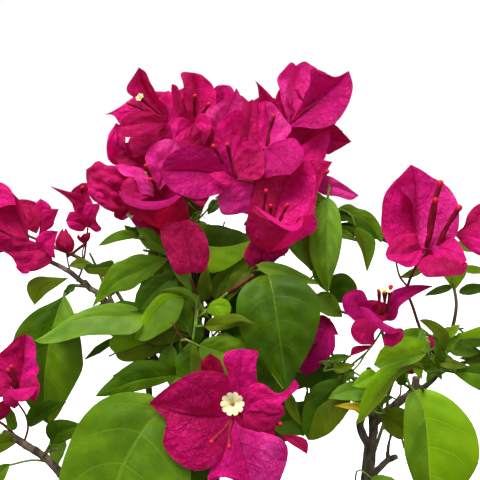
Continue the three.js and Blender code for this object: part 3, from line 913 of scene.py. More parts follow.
        [(-92.9, -74.5), (-91, -70), (-86, -67.2), (-81, -66.2)], [(-89, -78), (-84, -74.6), (-79.5, -71.2)],
        0, 0.3),
    "lowRound": ("dark", [(-82.5, -28, -86.5), (-78, -30, -81), (-68, -30, -78)],
        [(-84.6, -82), (-84, -77.5), (-80, -75.2), (-74, -75.6)], [(-79, -86.3), (-74, -84), (-70, -81)], 0,
        0.3),
    "cornerHigh": ("olive", [(-97, -28, -85.7), (-103, -30, -86), (-114, -31, -90)],
        [(-99.5, -82), (-104, -81.2), (-110, -83.5)], [(-100, -87.8), (-105, -90.5), (-110, -92)], 0, 0.3),
    "cornerLow": ("mid", [(-101, -28, -95.8), (-106, -30, -101), (-112, -31, -112)],
        [(-104, -95.5), (-109, -97.5), (-113, -104)], [(-101.3, -98), (-103.5, -103), (-107, -109)], 0, 0.3),
    "frontShield": ("mid", [(-30, -78, -55), (-36, -81, -63), (-41, -83, -70.5), (-45, -84, -78),
         (-47.5, -85, -88), (-48, -84, -100), (-46, -81, -114)], [(-34, -51.5), (-40, -50), (-46, -50),
         (-52, -52), (-57, -56), (-61.5, -62), (-65, -70), (-67.8, -80), (-68, -90), (-63, -101),
         (-55, -110)],
        [(-26, -58), (-22, -66), (-19.5, -75), (-19, -84), (-22, -94), (-30, -104), (-38, -111)], 3, 1.1),
    "besideShield": ("dark", [(-16, -74, -78), (-14, -74, -84), (-15, -74, -94)], [(-20, -80), (-20, -88)],
        [(-10, -80), (-8, -88)], 0, 0.3),
    "fillMiddle": ("mid", [(-16, -20, -24), (-22, -22, -30), (-29, -23, -39)],
        [(-21, -18), (-28, -20), (-33, -29)], [(-16, -31), (-20, -38), (-26, -42)], 1, 0.5),
}
# Small leaves on the front: base, tip, width, tint
# dark is partly the leaf's own tone and partly painted shade, for leaves that lie in shade
smallLeaves = [
    ((-68.5, -12, -9.5), (-76.2, -13, -10.5), 5.5, "olive"),
    ((-74.5, -9, -19.5), (-80, -10, -25), 3.6, "dark"),
    ((-55.5, -24, -41.5), (-68.5, -24, -50.5), 3.8, "dark"),
    ((-14.5, -26, -23), (-14, -28, -7.5), 6.4, "olive"),
    ((-28, -24, -8), (-21, -26, -20), 6.4, "mid"), ((-9.5, -24, 19.5), (-14, -26, 13.6), 4.8, "dark"),
    ((33, -20, -7), (38.7, -20, -21), 5.4, "mid"), ((44, -4, 4.5), (53, -6, 0.4), 4, "mid"),
    ((34, -18, -22.5), (45.3, -20, -32), 10, "mid"),
    ((94, -2, 1), (98.7, -3, 8.7), 4.2, "mid"), ((98, -4, -1.5), (115, -6, -2), 5.6, "mid"),
    ((99, -9, -11.5), (114, -10, -12.8), 4, "lime"),
    ((82, -10, -11.5), (71, -11, -15.8), 4, "olive"), ((95.5, -8, -20.5), (83, -9, -24.5), 3.8, "dark"),
    ((99.5, -8, -23), (115, -10, -21.5), 5.2, "dark"),
    ((8, -34, -7.4), (34, -34, -15.6), 6.5, "mid"), ((20.5, -32, -62), (26.8, -34, -77), 5, "olive"),
    ((58, -36, -53.5), (47.5, -39, -58), 7.4, "lime"),
    ((55, -34, -62), (37.5, -36, -64.5), 8.6, "light"), ((56, -35, -70), (40, -38, -67), 3.8, "yellow"),
    ((54, -28, -68), (66.5, -30, -65.5), 5.6, "dark"),
    ((70.5, -26, -61), (73, -28, -50.5), 5, "dark"), ((76.5, -28, -50.5), (78.7, -30, -57.5), 4.4, "lime"),
    ((80, -28, -38.5), (64.5, -30, -38), 7.4, "mid"),
    ((80.5, -33, -44.5), (77.3, -34, -34), 5, "light"), ((88, -30, -38.5), (94, -33, -32.6), 4.6, "lime"),
    ((86, -30, -51), (83, -33, -37.5), 4.6, "dark"),
    ((86, -30, -49.5), (98, -33, -51), 4.6, "olive"), ((87, -30, -47), (94.4, -33, -39), 4.2, "mid"),
    ((58, -30, -102), (77, -33, -110.5), 10.4, "mid"),
    ((-8, -30, -38), (3, -32, -48), 7, "dark"), ((-3, -16, -10), (3, -18, -24), 9, "dark"),
    ((6, -22, -9), (-6, -26, -25), 8, "olive"),
    ((-12, -18, -10), (-2, -20, -25), 10, "dark"), ((-30, -26, -44), (-36, -28, -60), 8, "dark"),
    ((-79, -24, -84.5), (-80.5, -25, -98), 8, "light"), ((-99, -28, -80.5), (-101.6, -28, -68.5), 5, "mid"),
    ((89, -14, -50), (101, -14, -57.5), 6, "mid"), ((101, -14, -52.5), (112, -14, -56), 5, "olive"),
    ((38.5, -34, -48.3), (47.7, -34, -46.5), 4, "dark"),
    ((40.2, -34, -52), (49.5, -34, -50), 4.5, "olive"), ((48.6, -34, -52.5), (44, -34, -58), 4, "dark"),
    ((86, -16, -52), (90, -18, -61), 4.6, "mid"),
    ((88, -16, -55), (83, -18, -62), 4, "light"), ((85, -18, -50), (92, -20, -53.5), 3.6, "lime"),
    ((94, -14, -47.5), (108, -14, -49.5), 6, "light"), ((84, -14, -49), (84.5, -14, -58), 6, "mid"),
    ((-44, -16, 3), (-51, -17, 8.5), 4.5, "mid"),
    ((-21, -20, 9), (-16, -21, 15), 4, "dark"),
    ((-33, -24, -8), (-28, -24, -16), 5, "dark"),
    ((-18, -24, -33), (-18, -25, -45), 6, "dark"),
]
leafRelief = {"puff": 0.07, "quilt": 1.15, "pairs": 5.5, "slant": 0.28, "wave": 0.35}


def rimOf(middle, edge, back):
    # the edge's points take their depth from the midrib
    edge = np.array(edge, float)
    share = np.arange(1, len(edge) + 1) / (len(edge) + 1)
    depth = evenPath(middle, share)[:, 1] + back
    return np.stack([edge[:, 0], depth, edge[:, 1]], axis=1)


def drawLeaf(tints, middle, first, second, back, quilt, dice):
    seed, habit = dice.random(), leafRelief
    back = back if isinstance(back, tuple) else (back, back)
    first, second = rimOf(middle, first, back[0]), rimOf(middle, second, back[1])

    def liftOf(s, t, sign, breadth):
        # each half swells between the side veins, and the rim wavers
        rib = habit["pairs"] * (s - habit["slant"] * t) + 0.5 * (sign > 0) + seed
        lift = habit["puff"] * breadth * 4 * t * (1 - 0.7 * t)
        cushions = np.abs(np.sin(np.pi * rib)) ** 0.7 - 0.4
        lift = lift + habit["quilt"] * quilt * cushions * np.clip(4 * t * (1.12 - t), 0, 1)
        swell = 0.5 * quilt * np.sin(2 * np.pi * (1.7 * s + 1.1 * t * sign + seed))
        lift = lift + swell * np.sin(2 * np.pi * (0.8 * t - 1.3 * s + 3 * seed))
        return lift + habit["wave"] * t**3 * np.sin(2 * np.pi * (3.3 * s + seed * 5 + 0.3 * sign))

    drawSheet("leaves", tints, middle, first, second, liftOf)


def addMidribUnder(middle, radius):
    # the raised midrib under a large leaf
    path = evenPath(middle, np.linspace(0.0, 0.85, 12)) + np.array([0, 0.3, 0])
    addToSpray("stemsGreenStalk", *tubeAlong(path, radius * np.linspace(1, 0.15, 12), 6))


def addStalkTo(place, baseBlade, dice):
    start = np.array(place, float)
    end = np.array(baseBlade["base"], float)
    lead = end - unit(np.array(baseBlade["tip"], float) - end) * 0.35 * np.linalg.norm(end - start)
    middle = (start * 0.45 + lead * 0.55) + np.array([
        dice.uniform(-1, 1), dice.uniform(-1, 1), dice.uniform(0, 2),
    ])
    addTube("stemsGreenStalk", [start, middle, end], 0.55 * 1.2, 0.55 * 0.9, sides=6, step=2.0, closed=False)


dice = random.Random(4)
for tints, middle, first, second, back, quilt in drawnLeaves.values():
    drawLeaf(tints, middle, first, second, back, quilt, dice)
    if quilt > 0.35:
        addMidribUnder(middle, 0.5)
for base, tip, width, tint in smallLeaves:
    blade = {
        "base": base, "tip": tip, "face": (0, -1, 0.35), "width": width, "arch": dice.uniform(0.02, 0.12),
        "bow": dice.uniform(-0.06, 0.1),
    }
    coverFront(addBlade("leaves" + tint.capitalize(), blade, dice), sheets["leaf"]["faces"])
print("front leaves:", len(drawnLeaves) + len(smallLeaves))


# Blooms on the front, bract by bract: tint (or one for each half), midrib from base to tip, left or upper
# edge, right or lower edge, how much it is crushed
# The tints paint light and shade: lighter tints where light falls, deep and ember where shade falls, also on
# the two halves of a bract.
drawnBlooms = {
    "spire": [
        ("deep", [(-32, -10, 53), (-38, -9, 62.5), (-42, -10, 70), (-44, -14, 77)],
         [(-37, -13, 57), (-45, -16, 63), (-48.3, -19, 66.5), (-47.3, -17, 71)],
         [(-31.5, -12, 58.5), (-36, -14, 65), (-37.8, -15, 69.5), (-40.5, -15, 74.5)], 0.5),
        ("bright", [(-32, -10, 54), (-41, -12, 58), (-50, -16, 58), (-58.2, -20, 56.5)],
         [(-36, -6, 62), (-43, -8, 65.5), (-50, -12, 61.7), (-55.2, -18, 57.9)],
         [(-36, -14, 50), (-44, -18, 49), (-51, -19, 51.5), (-54.5, -19, 56)], 0.8),
        ("deep", [(-31, -12, 54), (-41, -24, 53), (-51.5, -27, 51)],
         [(-36, -20, 57), (-43, -25, 58.2), (-49, -27, 55.5)],
         [(-36, -22, 48.5), (-43, -27, 47), (-49, -28, 47)], 0.6),
        ("deep", [(-31, -8, 50), (-38, -18, 45), (-46, -22, 38)], [(-40, -14, 51), (-48, -20, 46)],
         [(-29, -12, 46), (-36, -18, 40)], 1.0),
        ("bright", [(-29, -4, 47), (-32, -2, 58), (-34, 0, 67.3)],
         [(-35, -3, 52), (-41, -4, 60), (-40.5, -2, 67)], [(-24, -4, 52), (-25, -4, 60), (-28.5, -2, 66)],
         0.8),
        ("deep", [(-27, -6, 56), (-28, -6, 64), (-30.2, -7, 70.3)], [(-29.5, -6, 61), (-30.5, -7, 67)],
         [(-25, -8, 60), (-26.3, -8, 66), (-27.8, -8, 69.3)], 0.3),
    ],
    "crownLeft": [
        (("deep", "bright"), [(-20.5, -6, 50), (-19, -2, 58), (-19, -1, 67), (-20.5, -3, 75.5)],
         [(-23.5, -10, 55), (-25, -10, 64), (-26, -9, 70), (-26, -7, 75.2)],
         [(-14.5, -8, 53), (-11, -8, 58), (-10.4, -8, 64), (-12.6, -7, 70), (-16.6, -5, 74)], 0.6),
        ("bright", [(-21, -10, 52), (-25, -16, 50), (-28.5, -22, 46)], [(-25, -15, 55.5), (-30.5, -20, 52)],
         [(-23, -16, 47.5), (-26, -21, 45)], 1.2),
        ("bright", [(-20, -12, 53), (-16, -18, 53), (-11.8, -22, 51.5)], [(-18, -16, 56.8), (-14, -20, 56)],
         [(-18, -17, 50.5), (-14, -21, 49)], 1.0),
        ("deep", [(-20, -8, 53), (-21.3, -12, 49), (-21.3, -14, 46.4)], [(-24, -11, 51), (-22.8, -13, 48.4)],
         [(-17, -11, 51), (-19.5, -13, 47.8)], 0.8),
        ("violet", [(-19, -2, 38), (-16.5, -2, 44), (-14.5, -3, 51)], [(-20, -3, 42), (-19, -4, 47)],
         [(-15, -2, 40), (-12.6, -2, 46)], 0.4),
        ("deep", [(-18, -7, 53), (-15.5, -10, 48), (-16, -12, 43.5)], [(-18.5, -10, 48)],
         [(-12.6, -9, 51), (-14, -11, 46.5)], 0.8),
    ],
    "crownMiddle": [
        ("violet", [(-8, -2, 48), (-8, 0, 60), (-7.5, -1, 70.3)],
         [(-13, -3, 57), (-13.3, -2, 65), (-11, -2, 69.4)], [(-3, -3, 58), (-2, -3, 65), (-4, -2, 69.4)],
         0.5),
        ("pale", [(-8, -8, 46), (-6, -6, 56), (-1.6, -8, 68.4)],
         [(-13, -10, 51), (-15.2, -11, 58.3), (-8.5, -9, 62.7), (-3.5, -9, 65.5)],
         [(1, -6, 50), (1.8, -6, 58.8), (0, -7, 65.5)], 0.7),
        ("bright", [(-4, -14, 33), (-4, -13, 46), (-2, -16, 58.6)],
         [(-10, -14, 41), (-11, -14, 49), (-7, -15, 55.6)], [(2, -12, 42), (2.2, -12, 52), (1.6, -14, 57.4)],
         1.0),
        ("deep", [(-3, -14, 34), (-7, -12, 38), (-10, -10, 43)], [(-7, -16, 35), (-12, -13, 38.5)],
         [(-4, -10, 39), (-7, -8, 44)], 0.8),
    ],
    "roundDeep": [
        ("violet", [(-1, -31, 29), (-17, -32, 32.5), (-33, -36, 33)],
         [(-4, -33, 36), (-9, -35, 40.5), (-15, -36, 43), (-21, -37, 43.4), (-27, -37, 41.6), (-31, -36, 38)],
         [(-6, -35, 24), (-12, -38, 22), (-19, -39, 21.4), (-26, -39, 23.4), (-31, -37, 27.6)], 0.5),
        ("deep", [(-2, -32, 29), (4, -28, 36), (9.7, -25, 42)], [(-2.5, -28, 37), (1.5, -25, 44)],
         [(4, -32, 28.5), (9.6, -32, 31), (10.4, -29, 37)], 1.0),
        ("deep", [(-12, -36, 24), (-16, -38, 20.5), (-21, -38, 20.8)], [(-17, -36, 23), (-20.5, -37, 22.5)],
         [(-13.5, -38, 20.5), (-16, -39, 18.3)], 0.8),
        ("bright", [(-2, -34, 28), (-7, -38, 29.5), (-13, -38, 31.5)], [(-6, -36, 32), (-10, -37, 32.3)],
         [(-5, -38, 26.5), (-9, -39, 28.5)], 0.6),
    ],
    "ruffled": [
        (("bright", "deep"), [(-43, -12, 34), (-52, -18, 43), (-54, -16, 53)],
         [(-53, -18, 34), (-58, -22, 40.5), (-57.8, -22, 46)],
         [(-45, -20, 38), (-48, -22, 44), (-49.5, -18, 50)], 1.8),
        ("deep", [(-41, -14, 33), (-47, -20, 37.5), (-55, -20, 38)],
         [(-40, -14, 42), (-46, -18, 44), (-52, -20, 43.5)], [(-45, -22, 33.5), (-50.5, -22, 34)], 1.4),
    ],
    "smile": [
        ("pale", [(-34.5, -24, 24), (-32, -21, 34), (-28, -18, 45.8)],
         [(-38, -25, 29), (-41, -23, 37), (-39, -21, 41.8), (-33.5, -19, 45.6)],
         [(-31, -25, 29), (-29.5, -23, 36), (-27, -22, 40), (-25.5, -19, 44.3)], 0.9),
        ("pale", [(-37, -28, 21.5), (-42, -30, 28), (-47, -27, 32), (-54, -22, 35)],
         [(-37, -26, 29), (-40, -26, 31), (-44, -24, 34), (-50, -22, 35)],
         [(-41, -33, 24), (-45, -32, 29.5), (-50, -28, 30.5)], 1.6),
        ("deep", [(-37, -27, 22), (-44, -33, 24), (-50, -36, 25.5)],
         [(-42, -28, 27), (-46, -30, 29.5), (-48.8, -33, 28.5)], [(-42, -36, 20.5), (-48, -37, 22)], 0.7),
        ("ember", [(-32, -22, 5), (-35, -38, 10), (-37, -45, 17.6)],
         [(-40, -28, 8.5), (-44, -35, 14), (-50.3, -37, 22.5), (-46, -41, 18.5)],
         [(-25, -28, 8.5), (-21.8, -34, 14), (-23.5, -38, 22), (-30, -43, 18.8)], 0.7),
        ("violet",
         [(-50.8, -38, 24.5), (-45, -42.5, 20.2), (-37, -47, 18.6), (-30, -44.5, 20.2), (-23.3, -38, 23)],
         [(-49, -37, 24), (-45, -39.5, 21.8), (-37, -43, 20.4), (-30, -42, 21.2), (-25.5, -38, 23)],
         [(-47, -42.5, 19.6), (-37, -47.5, 17.2), (-29, -45, 18.9)], 0.1),
        ("deep", [(-36, -26, 17), (-40, -30, 12), (-42, -31, 8.8)],
         [(-42, -28, 18), (-45.8, -31, 12.5), (-45, -31, 10)], [(-36, -28, 12), (-37.3, -30, 8.3)], 0.8),
        ("ember", [(-30, -24, 12), (-33, -28, 9), (-35, -29, 5)], [(-36, -26, 11), (-36.8, -28, 7.5)],
         [(-29, -27, 9), (-32, -28, 6)], 0.6),
        ("deep", [(-35, -20, 8), (-36, -22, 18), (-37, -20, 30)],
         [(-46, -24, 14), (-47, -24, 24), (-43, -22, 29)], [(-25, -22, 12), (-25, -22, 22), (-30, -21, 29)],
         1.2),
        ("deep", [(-34, -22, 22), (-30, -22, 28), (-33, -22, 33)], [(-37, -22, 27), (-36, -22, 32)],
         [(-31.8, -23, 25), (-29.5, -23, 30)], 0.8),
    ],
    "leftShoulder": [
        ("deep", [(-47, -18, 17), (-56, -25, 26), (-66, -24, 33)],
         [(-46, -20, 27), (-52, -22, 33), (-58, -20, 35.2), (-62.5, -20, 34.9), (-64, -22, 34.2)],
         [(-49, -22, 11.5), (-54, -26, 14), (-58.5, -28, 16.5), (-62, -28, 20.5), (-64.5, -27, 24),
          (-66, -25, 29)], 2.8),
        ("bright", [(-60, -28, 24), (-62.3, -29, 21), (-60, -29, 18.3)], [(-64.5, -28, 25), (-64, -28, 21.5)],
         [(-57.5, -29, 22), (-57, -29, 18.5)], 0.6),
        ("deep", [(-48, -17, 19), (-50.5, -22, 14), (-51.5, -24, 11)], [(-53, -20, 18), (-54.5, -24, 13)],
         [(-48, -20, 15), (-49.3, -24, 11.5)], 1.0),
    ],
    "hanging": [
        ("rose", [(-20, -40, -9.5), (-21.5, -41, 1), (-24.5, -42, 12)],
         [(-26, -42, -10), (-29.5, -42, -4), (-32, -42, 3), (-33, -41, 9), (-29, -41, 11.8)],
         [(-15, -40, -9), (-12.7, -41, -3), (-13.4, -42, 4), (-16.5, -42, 10), (-21, -42, 12.6)], 0.5),
    ],
    "tallMiddle": [
        ("deep", [(3, -14, 40), (3.5, -10, 50), (5.5, -8, 63.5)],
         [(0.5, -14, 45), (1.5, -12, 55), (3, -10, 61.5)], [(9.5, -12, 41), (8.8, -10, 50), (7.6, -8, 60)],
         0.5),
        (("bright", "pale"), [(13, -14, 40), (13.5, -6, 50), (11, -5, 63)],
         [(8.5, -12, 44), (8, -9, 54), (7.5, -8, 61)],
         [(19, -14, 44), (22.5, -12, 50.5), (17.5, -8, 58), (14, -7, 62)], 0.8),
        ("violet", [(11, -18, 42), (17, -27, 38), (21, -33, 31)], [(8.8, -24, 38), (8.5, -30, 31)],
         [(17, -19, 45.5), (25, -22, 44.5), (27, -29, 37)], 0.7),
        ("deep", [(14, -4, 54), (12, -4, 62), (9, -6, 67.5), (6.6, -9, 71.7)],
         [(8.6, -5, 60), (8.3, -6, 65), (7.8, -7, 69)], [(16.8, -4, 60), (14.8, -5, 64), (10.5, -6, 68.5)],
         0.3),
        ("deep", [(20.5, -6, 51), (19, -5, 60), (17.3, -6, 68)], [(18, -6, 58), (15.8, -6, 63.5)],
         [(25, -6, 58), (20.7, -6, 63)], 0.4),
    ],
    "shell": [
        ("pale", [(22, -8, 50), (23.5, -2, 62), (24.5, 0, 72), (25, -3, 78.6)],
         [(19, -10, 60), (16.4, -9, 68), (17.3, -7, 73.5), (20.5, -5, 77.6), (23.2, -4, 79.8)],
         [(28, -8, 58), (33, -6, 66), (35.5, -4, 75.6), (31.5, -4, 79.2), (28.5, -4, 80.6)], 0.9),
        ("violet", [(21, -8, 51), (31, -8, 59.5), (39, -9, 67), (47.2, -16, 75.3)],
         [(26.5, -10, 60), (30.7, -12, 69), (30.5, -14, 76.4), (36, -13, 75.1), (41.5, -14, 72.9)],
         [(28, -16, 51), (36, -19, 50.3), (42, -20, 53.2), (47.8, -19, 61), (49.2, -17, 68)], 0.6),
        ("deep", [(37, -2, 47), (43, -2, 46), (49.8, -6, 44.8)],
         [(39, -4, 53), (43, -5, 52), (46.5, -6, 48.5)], [(37.5, -5, 41), (40, -6, 39.3), (45, -6, 42)], 0.3),
        ("bright", [(24, -10, 33), (31, -9, 41), (40, -8, 50)],
         [(23.5, -10, 38), (28, -9, 43.5), (34, -8, 47.5)],
         [(33, -13, 33), (37.5, -11, 37), (38.8, -10, 42), (40.2, -8, 46)], 0.7),
        ("deep", [(24, -6, 36), (28, -3, 45), (34, -4, 52)], [(21, -8, 43), (22.5, -6, 51.5)],
         [(33, -6, 40), (38, -5, 49)], 0.6),
    ],
    "bigCup": [
        (("rose", "bright"), [(12, -30, 4), (16, -24, 16), (19.5, -20, 26), (24, -22, 36)],
         [(6, -31, 11), (4.8, -28, 19.5), (6.3, -25, 27), (11, -23, 32.8), (18, -22, 34.9)],
         [(24, -33, 8), (30, -29, 16), (33, -25, 26), (32, -23, 32), (29, -22, 36.6)], 0.9),
        ("deep", [(20, -32, 4), (30, -26, 18), (33.5, -22, 28), (39.8, -22, 36.2)],
         [(18, -24, 12), (20, -18, 24), (24, -17, 33), (32, -20, 37.2)],
         [(27, -36, 6), (31.2, -34, 12), (32, -30, 18), (34.4, -26, 27), (37.7, -24, 33)], 0.5),
        (("deep", "bright"), [(11, -28, -4), (16, -42, 3), (20.5, -50, 9.4)],
         [(5.7, -30, 2), (3.8, -34, 9), (5.3, -39, 16.8), (10, -46, 14.6), (15, -49, 11.4)],
         [(20, -34, 0.5), (26, -40, 4.5), (31.2, -40, 9.5), (30.5, -42, 15), (25, -47, 14)], 0.7),
        # a thin strip along the curled rim, given a lighter tint as a painted highlight
        ("bright", [(5.6, -38, 18.6), (10, -45, 15.9), (15, -49, 12.6), (20.5, -51, 9.9), (24, -49, 11.5),
          (26, -46, 16)], [(10, -43.5, 16.5), (15, -47, 13.4), (20, -49.5, 10.8), (23.3, -48, 12.2)],
         [(10, -47, 15), (15, -50.5, 11.6), (20.8, -52, 8.9), (25, -49.5, 11)], 0.1),
        ("deep", [(8, -28, -9), (10, -32, 2), (9, -30, 12)], [(5, -30, -4), (4.8, -31, 5)],
         [(17, -32, -4), (21, -32, 0), (20, -33, 7)], 0.8),
    ],
    "leftTongues": [
        ("pale", [(6, -26, 22), (-2, -33, 20), (-9.6, -34, 21)], [(5, -26, 27), (-3, -31, 26), (-8, -33, 24)],
         [(6, -27, 14), (1, -31, 14.7), (-2, -34, 14.3), (-7.5, -35, 14.6), (-9, -35, 19)], 0.6),
        ("bright", [(7, -22, 26), (0, -26, 28), (-7.5, -28, 26)], [(8, -20, 31), (2, -24, 31), (-3, -26, 30)],
         [(4, -28, 25), (-3, -30, 25)], 0.5),
    ],
    "cupFoot": [
        ("rose", [(8, -28, -9), (5, -30, -4), (4, -30, 2)], [(3, -29, -7), (1.6, -30, -3)],
         [(9, -31, -4), (7, -31, 0)], 0.4),
        ("ember", [(8, -28, -9), (13, -31, -4), (20.5, -30, 0.8)], [(9, -31, -1), (13, -32, 3), (18, -31, 3)],
         [(12, -29, -7.5), (17, -30, -4.3)], 0.5),
    ],
    "rightTongue": [
        ("pale", [(32, -18, 25), (41, -22, 25.5), (51.2, -24, 21.8)],
         [(34, -20, 29.5), (38.5, -22, 30), (44, -24, 27)],
         [(36, -20, 22), (42, -23, 21.3), (47.5, -24, 19.8)], 0.3),
    ],
    "farLeft": [
        ("deep", [(-94, -10, 0), (-100, -6, 11), (-105, -4, 20), (-108, -6, 26)],
         [(-102, -14, 1), (-111, -10, 7), (-117, -8, 15), (-115, -7, 22.6)],
         [(-95.3, -10, 8), (-96.3, -10, 15), (-98.5, -9, 19.4), (-102.5, -8, 23.6)], 0.8),
        ("bright", [(-99.5, -12, 17), (-105, -11, 20.5), (-114, -8, 23.5)],
         [(-101, -10, 21.6), (-104, -8, 25.2), (-109, -7, 26.4)],
         [(-103, -14, 16.8), (-108, -13, 16), (-114, -11, 19)], 0.7),
        ("deep", [(-88, -10, -3), (-97, -16, -3), (-109, -18, -1)],
         [(-92, -12, 0.8), (-98, -16, 3), (-104, -18, 4)],
         [(-84, -12, -8.4), (-90, -16, -12), (-97, -18, -11), (-101, -18, -5)], 1.2),
        ("bright", [(-89, -12, -3), (-86, -14, 1), (-80.3, -15, 5.5)],
         [(-91, -13, 1), (-88, -14, 4.8), (-84, -15, 5.9)],
         [(-85, -14, -4.5), (-82, -15, -6.5), (-82, -15, 0)], 0.7),
        ("bright", [(-93, -14, -8), (-95, -17, -10.5), (-96, -18, -13.2)],
         [(-96.5, -16, -7.5), (-98.7, -18, -10)], [(-92.5, -16, -10), (-93.3, -17, -12.9)], 0.4),
        ("deep", [(-100, -12, 0), (-110, -16, 3), (-121, -14, 4)], [(-104, -13, 5), (-113, -14, 9)],
         [(-104, -15, -3.5), (-113, -16, -4)], 1.0),
    ],
    "smallRose": [
        ("rose", [(-90.5, -12, 4), (-91.5, -14, 11), (-93.8, -14, 17.6)],
         [(-94, -14, 6.5), (-94.7, -15, 12), (-96.2, -14, 16.5)],
         [(-89, -13, 7), (-88.5, -13, 12), (-90.5, -13, 16.3)], 0.6),
        ("bright", [(-89, -10, 8), (-88.5, -9, 14), (-89.2, -9, 19.5)], [(-91, -10, 11), (-91.5, -10, 16.6)],
         [(-85, -9, 12), (-84.3, -9, 15.5), (-86.5, -9, 18)], 0.5),
        ("deep", [(-89, -12, 4.5), (-85, -14, 10), (-80, -14, 15.2)],
         [(-89, -12, 10), (-88, -13, 14), (-84, -14, 15.3)],
         [(-86, -13, 5.5), (-83, -14, 7.5), (-81.7, -14, 11)], 0.5),
    ],
    "redBud": [
        ("rose", [(-78, -10, -4.6), (-80, -13, 0), (-79, -11, 6.5)],
         [(-81, -11, -3.7), (-82.4, -12, 0), (-80.8, -12, 4)], [(-77, -14, -2), (-77.5, -13, 2)], 0.3),
        ("rose", [(-78, -10, -4.6), (-77, -14, 0), (-77.7, -11, 6.8)], [(-80, -13, -2), (-79.5, -13, 2)],
         [(-75, -11, -4.2), (-73.7, -12, 0), (-76, -12, 4)], 0.3),
        ("ember", [(-78, -8, -4.6), (-78, -5, 1), (-78.5, -8, 6)], [(-81.5, -8, 0)], [(-74.5, -8, 0)], 0.2),
    ],
    "pointed": [
        ("deep", [(-70, -6, 16), (-77, -9, 21), (-84.3, -12, 25.3)], [(-72, -7, 21.5), (-77, -9, 22.8)],
         [(-73, -8, 15), (-77.5, -9, 20)], 0.2),
        ("deep", [(-68.5, -6, 6), (-70.5, -5, 15), (-71, -6, 26.4)],
         [(-73, -8, 10), (-75.2, -8, 17), (-75.4, -8, 22.8)],
         [(-66.5, -6, 10), (-65.7, -6, 16), (-68, -5, 21), (-67.8, -6, 26)], 1.2),
        (("bright", "deep"), [(-68.5, -6, 6.5), (-66.5, -10, 10), (-65, -10, 17.3)],
         [(-70, -10, 12), (-68.6, -10, 17.4)],
         [(-64, -11, 4.8), (-61.7, -12, 6), (-63.9, -12, 10), (-62.3, -12, 16.8)], 0.9),
        (("deep", "bright"), [(-69, -7, 6.5), (-73, -12, 9.5), (-77.3, -13, 10)],
         [(-71, -10, 12), (-75.3, -12, 14)], [(-71, -10, 4.8), (-75.5, -13, 6.5)], 0.6),
    ],
    "tinyBud": [
        ("ember", [(-69.8, -8, -1.2), (-72, -9, 0.5), (-72.6, -9, 3.8)], [(-73, -9, 1.5)], [(-70.5, -10, 1)],
         0.1),
        ("ember", [(-69.8, -8, -1.2), (-68, -10, 1.5), (-66.9, -9, 4.6)], [(-69.8, -10, 3.4)],
         [(-67.4, -9, 1.4)], 0.1),
        ("ember", [(-69.8, -8, -1.2), (-70, -6, 1.5), (-70, -8, 4)], [(-72, -7, 1.5)], [(-68, -7, 1.5)], 0.1),
    ],
    "lowLeft": [
        (("deep", "bright"), [(-96, -30, -62), (-94.5, -26, -52), (-94.3, -24, -44), (-93.7, -26, -38.3)],
         [(-101, -34, -58), (-102.3, -33, -53), (-105, -32, -48), (-99, -29, -41.4), (-96.5, -28, -39.2)],
         [(-89, -32, -58), (-86.6, -31, -52), (-88, -29, -46), (-90, -27, -40.3)], 0.8),
        ("deep", [(-94, -34, -60), (-89, -38, -58.5), (-84.9, -38, -58)],
         [(-91, -34, -56), (-87.5, -35, -54.6)], [(-90, -40, -62), (-87.2, -41, -64.4), (-85.3, -40, -61.5)],
         0.5),
        ("bright", [(-98.7, -38, -60), (-92, -44, -61), (-85.8, -40, -58.3)],
         [(-95, -40, -59.2), (-90, -41, -58.4)], [(-96, -42, -62.2), (-91, -45, -63.3), (-87.3, -43, -61.2)],
         0.2),
        ("deep", [(-97, -34, -60), (-98, -38, -64), (-96, -38, -68.3)],
         [(-101, -36, -61), (-100.5, -38, -65.5)], [(-94.5, -37, -63.3), (-94.2, -38, -66.5)], 0.5),
        ("deep", [(-98, -34, -60), (-102, -36, -60), (-106.5, -36, -61)],
         [(-101, -34, -56.3), (-104.5, -34, -57.3)], [(-101, -37, -63), (-104.5, -37, -64.3)], 0.6),
        ("deep", [(-97, -32, -58), (-103, -32, -53), (-109, -33, -50)],
         [(-101, -31, -51), (-105.5, -32, -48.5)], [(-101, -34, -58), (-107, -34, -56)], 0.8),
    ],
    "lowLeftBud": [
        ("ember", [(-106, -28, -77), (-103.5, -32, -72), (-101.3, -30, -66.3)],
         [(-108, -31, -73), (-105, -31, -68)], [(-101.5, -31, -74), (-99.3, -31, -70.3)], 0.3),
        ("ember", [(-106, -28, -77), (-108, -31, -71), (-108, -30, -65)], [(-111, -30, -72)],
         [(-104, -32, -71)], 0.3),
    ],
    "front": [
        (("deep", "deep"), [(-3, -74, -60), (-11, -78, -59.5), (-21, -82, -57), (-34.5, -80, -54)],
         [(-4.5, -76, -50), (-5, -79, -43), (-11, -82, -41), (-17, -83, -40.8), (-24, -83, -44.5),
          (-30.5, -82, -49.5)], [(-5, -77, -68), (-9, -82, -76), (-16.5, -85, -78.4), (-24, -86, -74.5),
          (-29, -86, -67.5), (-27.2, -84, -60.5)], 0.7),
        ("bright", [(0, -74, -58), (0, -76, -46), (0.5, -76, -33.8)],
         [(-4.5, -76, -52), (-4.5, -77, -44), (-6.6, -77, -38), (-5, -77, -34.6)],
         [(6, -76, -52), (6.3, -77, -44), (6.2, -77, -39), (6.8, -76, -34.6)], 0.6),
        ("bright", [(1, -74, -58), (8, -80, -52), (15, -80, -51.8), (20.8, -78, -45)],
         [(3, -76, -49), (8, -79, -46.3), (14, -79, -50.3), (18, -79, -48.5)],
         [(6, -80, -57), (13, -82, -55), (19, -80, -51), (22.5, -78, -48)], 0.6),
        ("deep", [(1, -75, -59), (8, -81, -58.5), (17, -82, -57.3)],
         [(6, -79, -52), (12, -82, -54), (16, -81.5, -54)],
         [(2, -78, -64.5), (7, -81, -65.2), (11.5, -82, -64), (14.5, -82, -60)], 0.8),
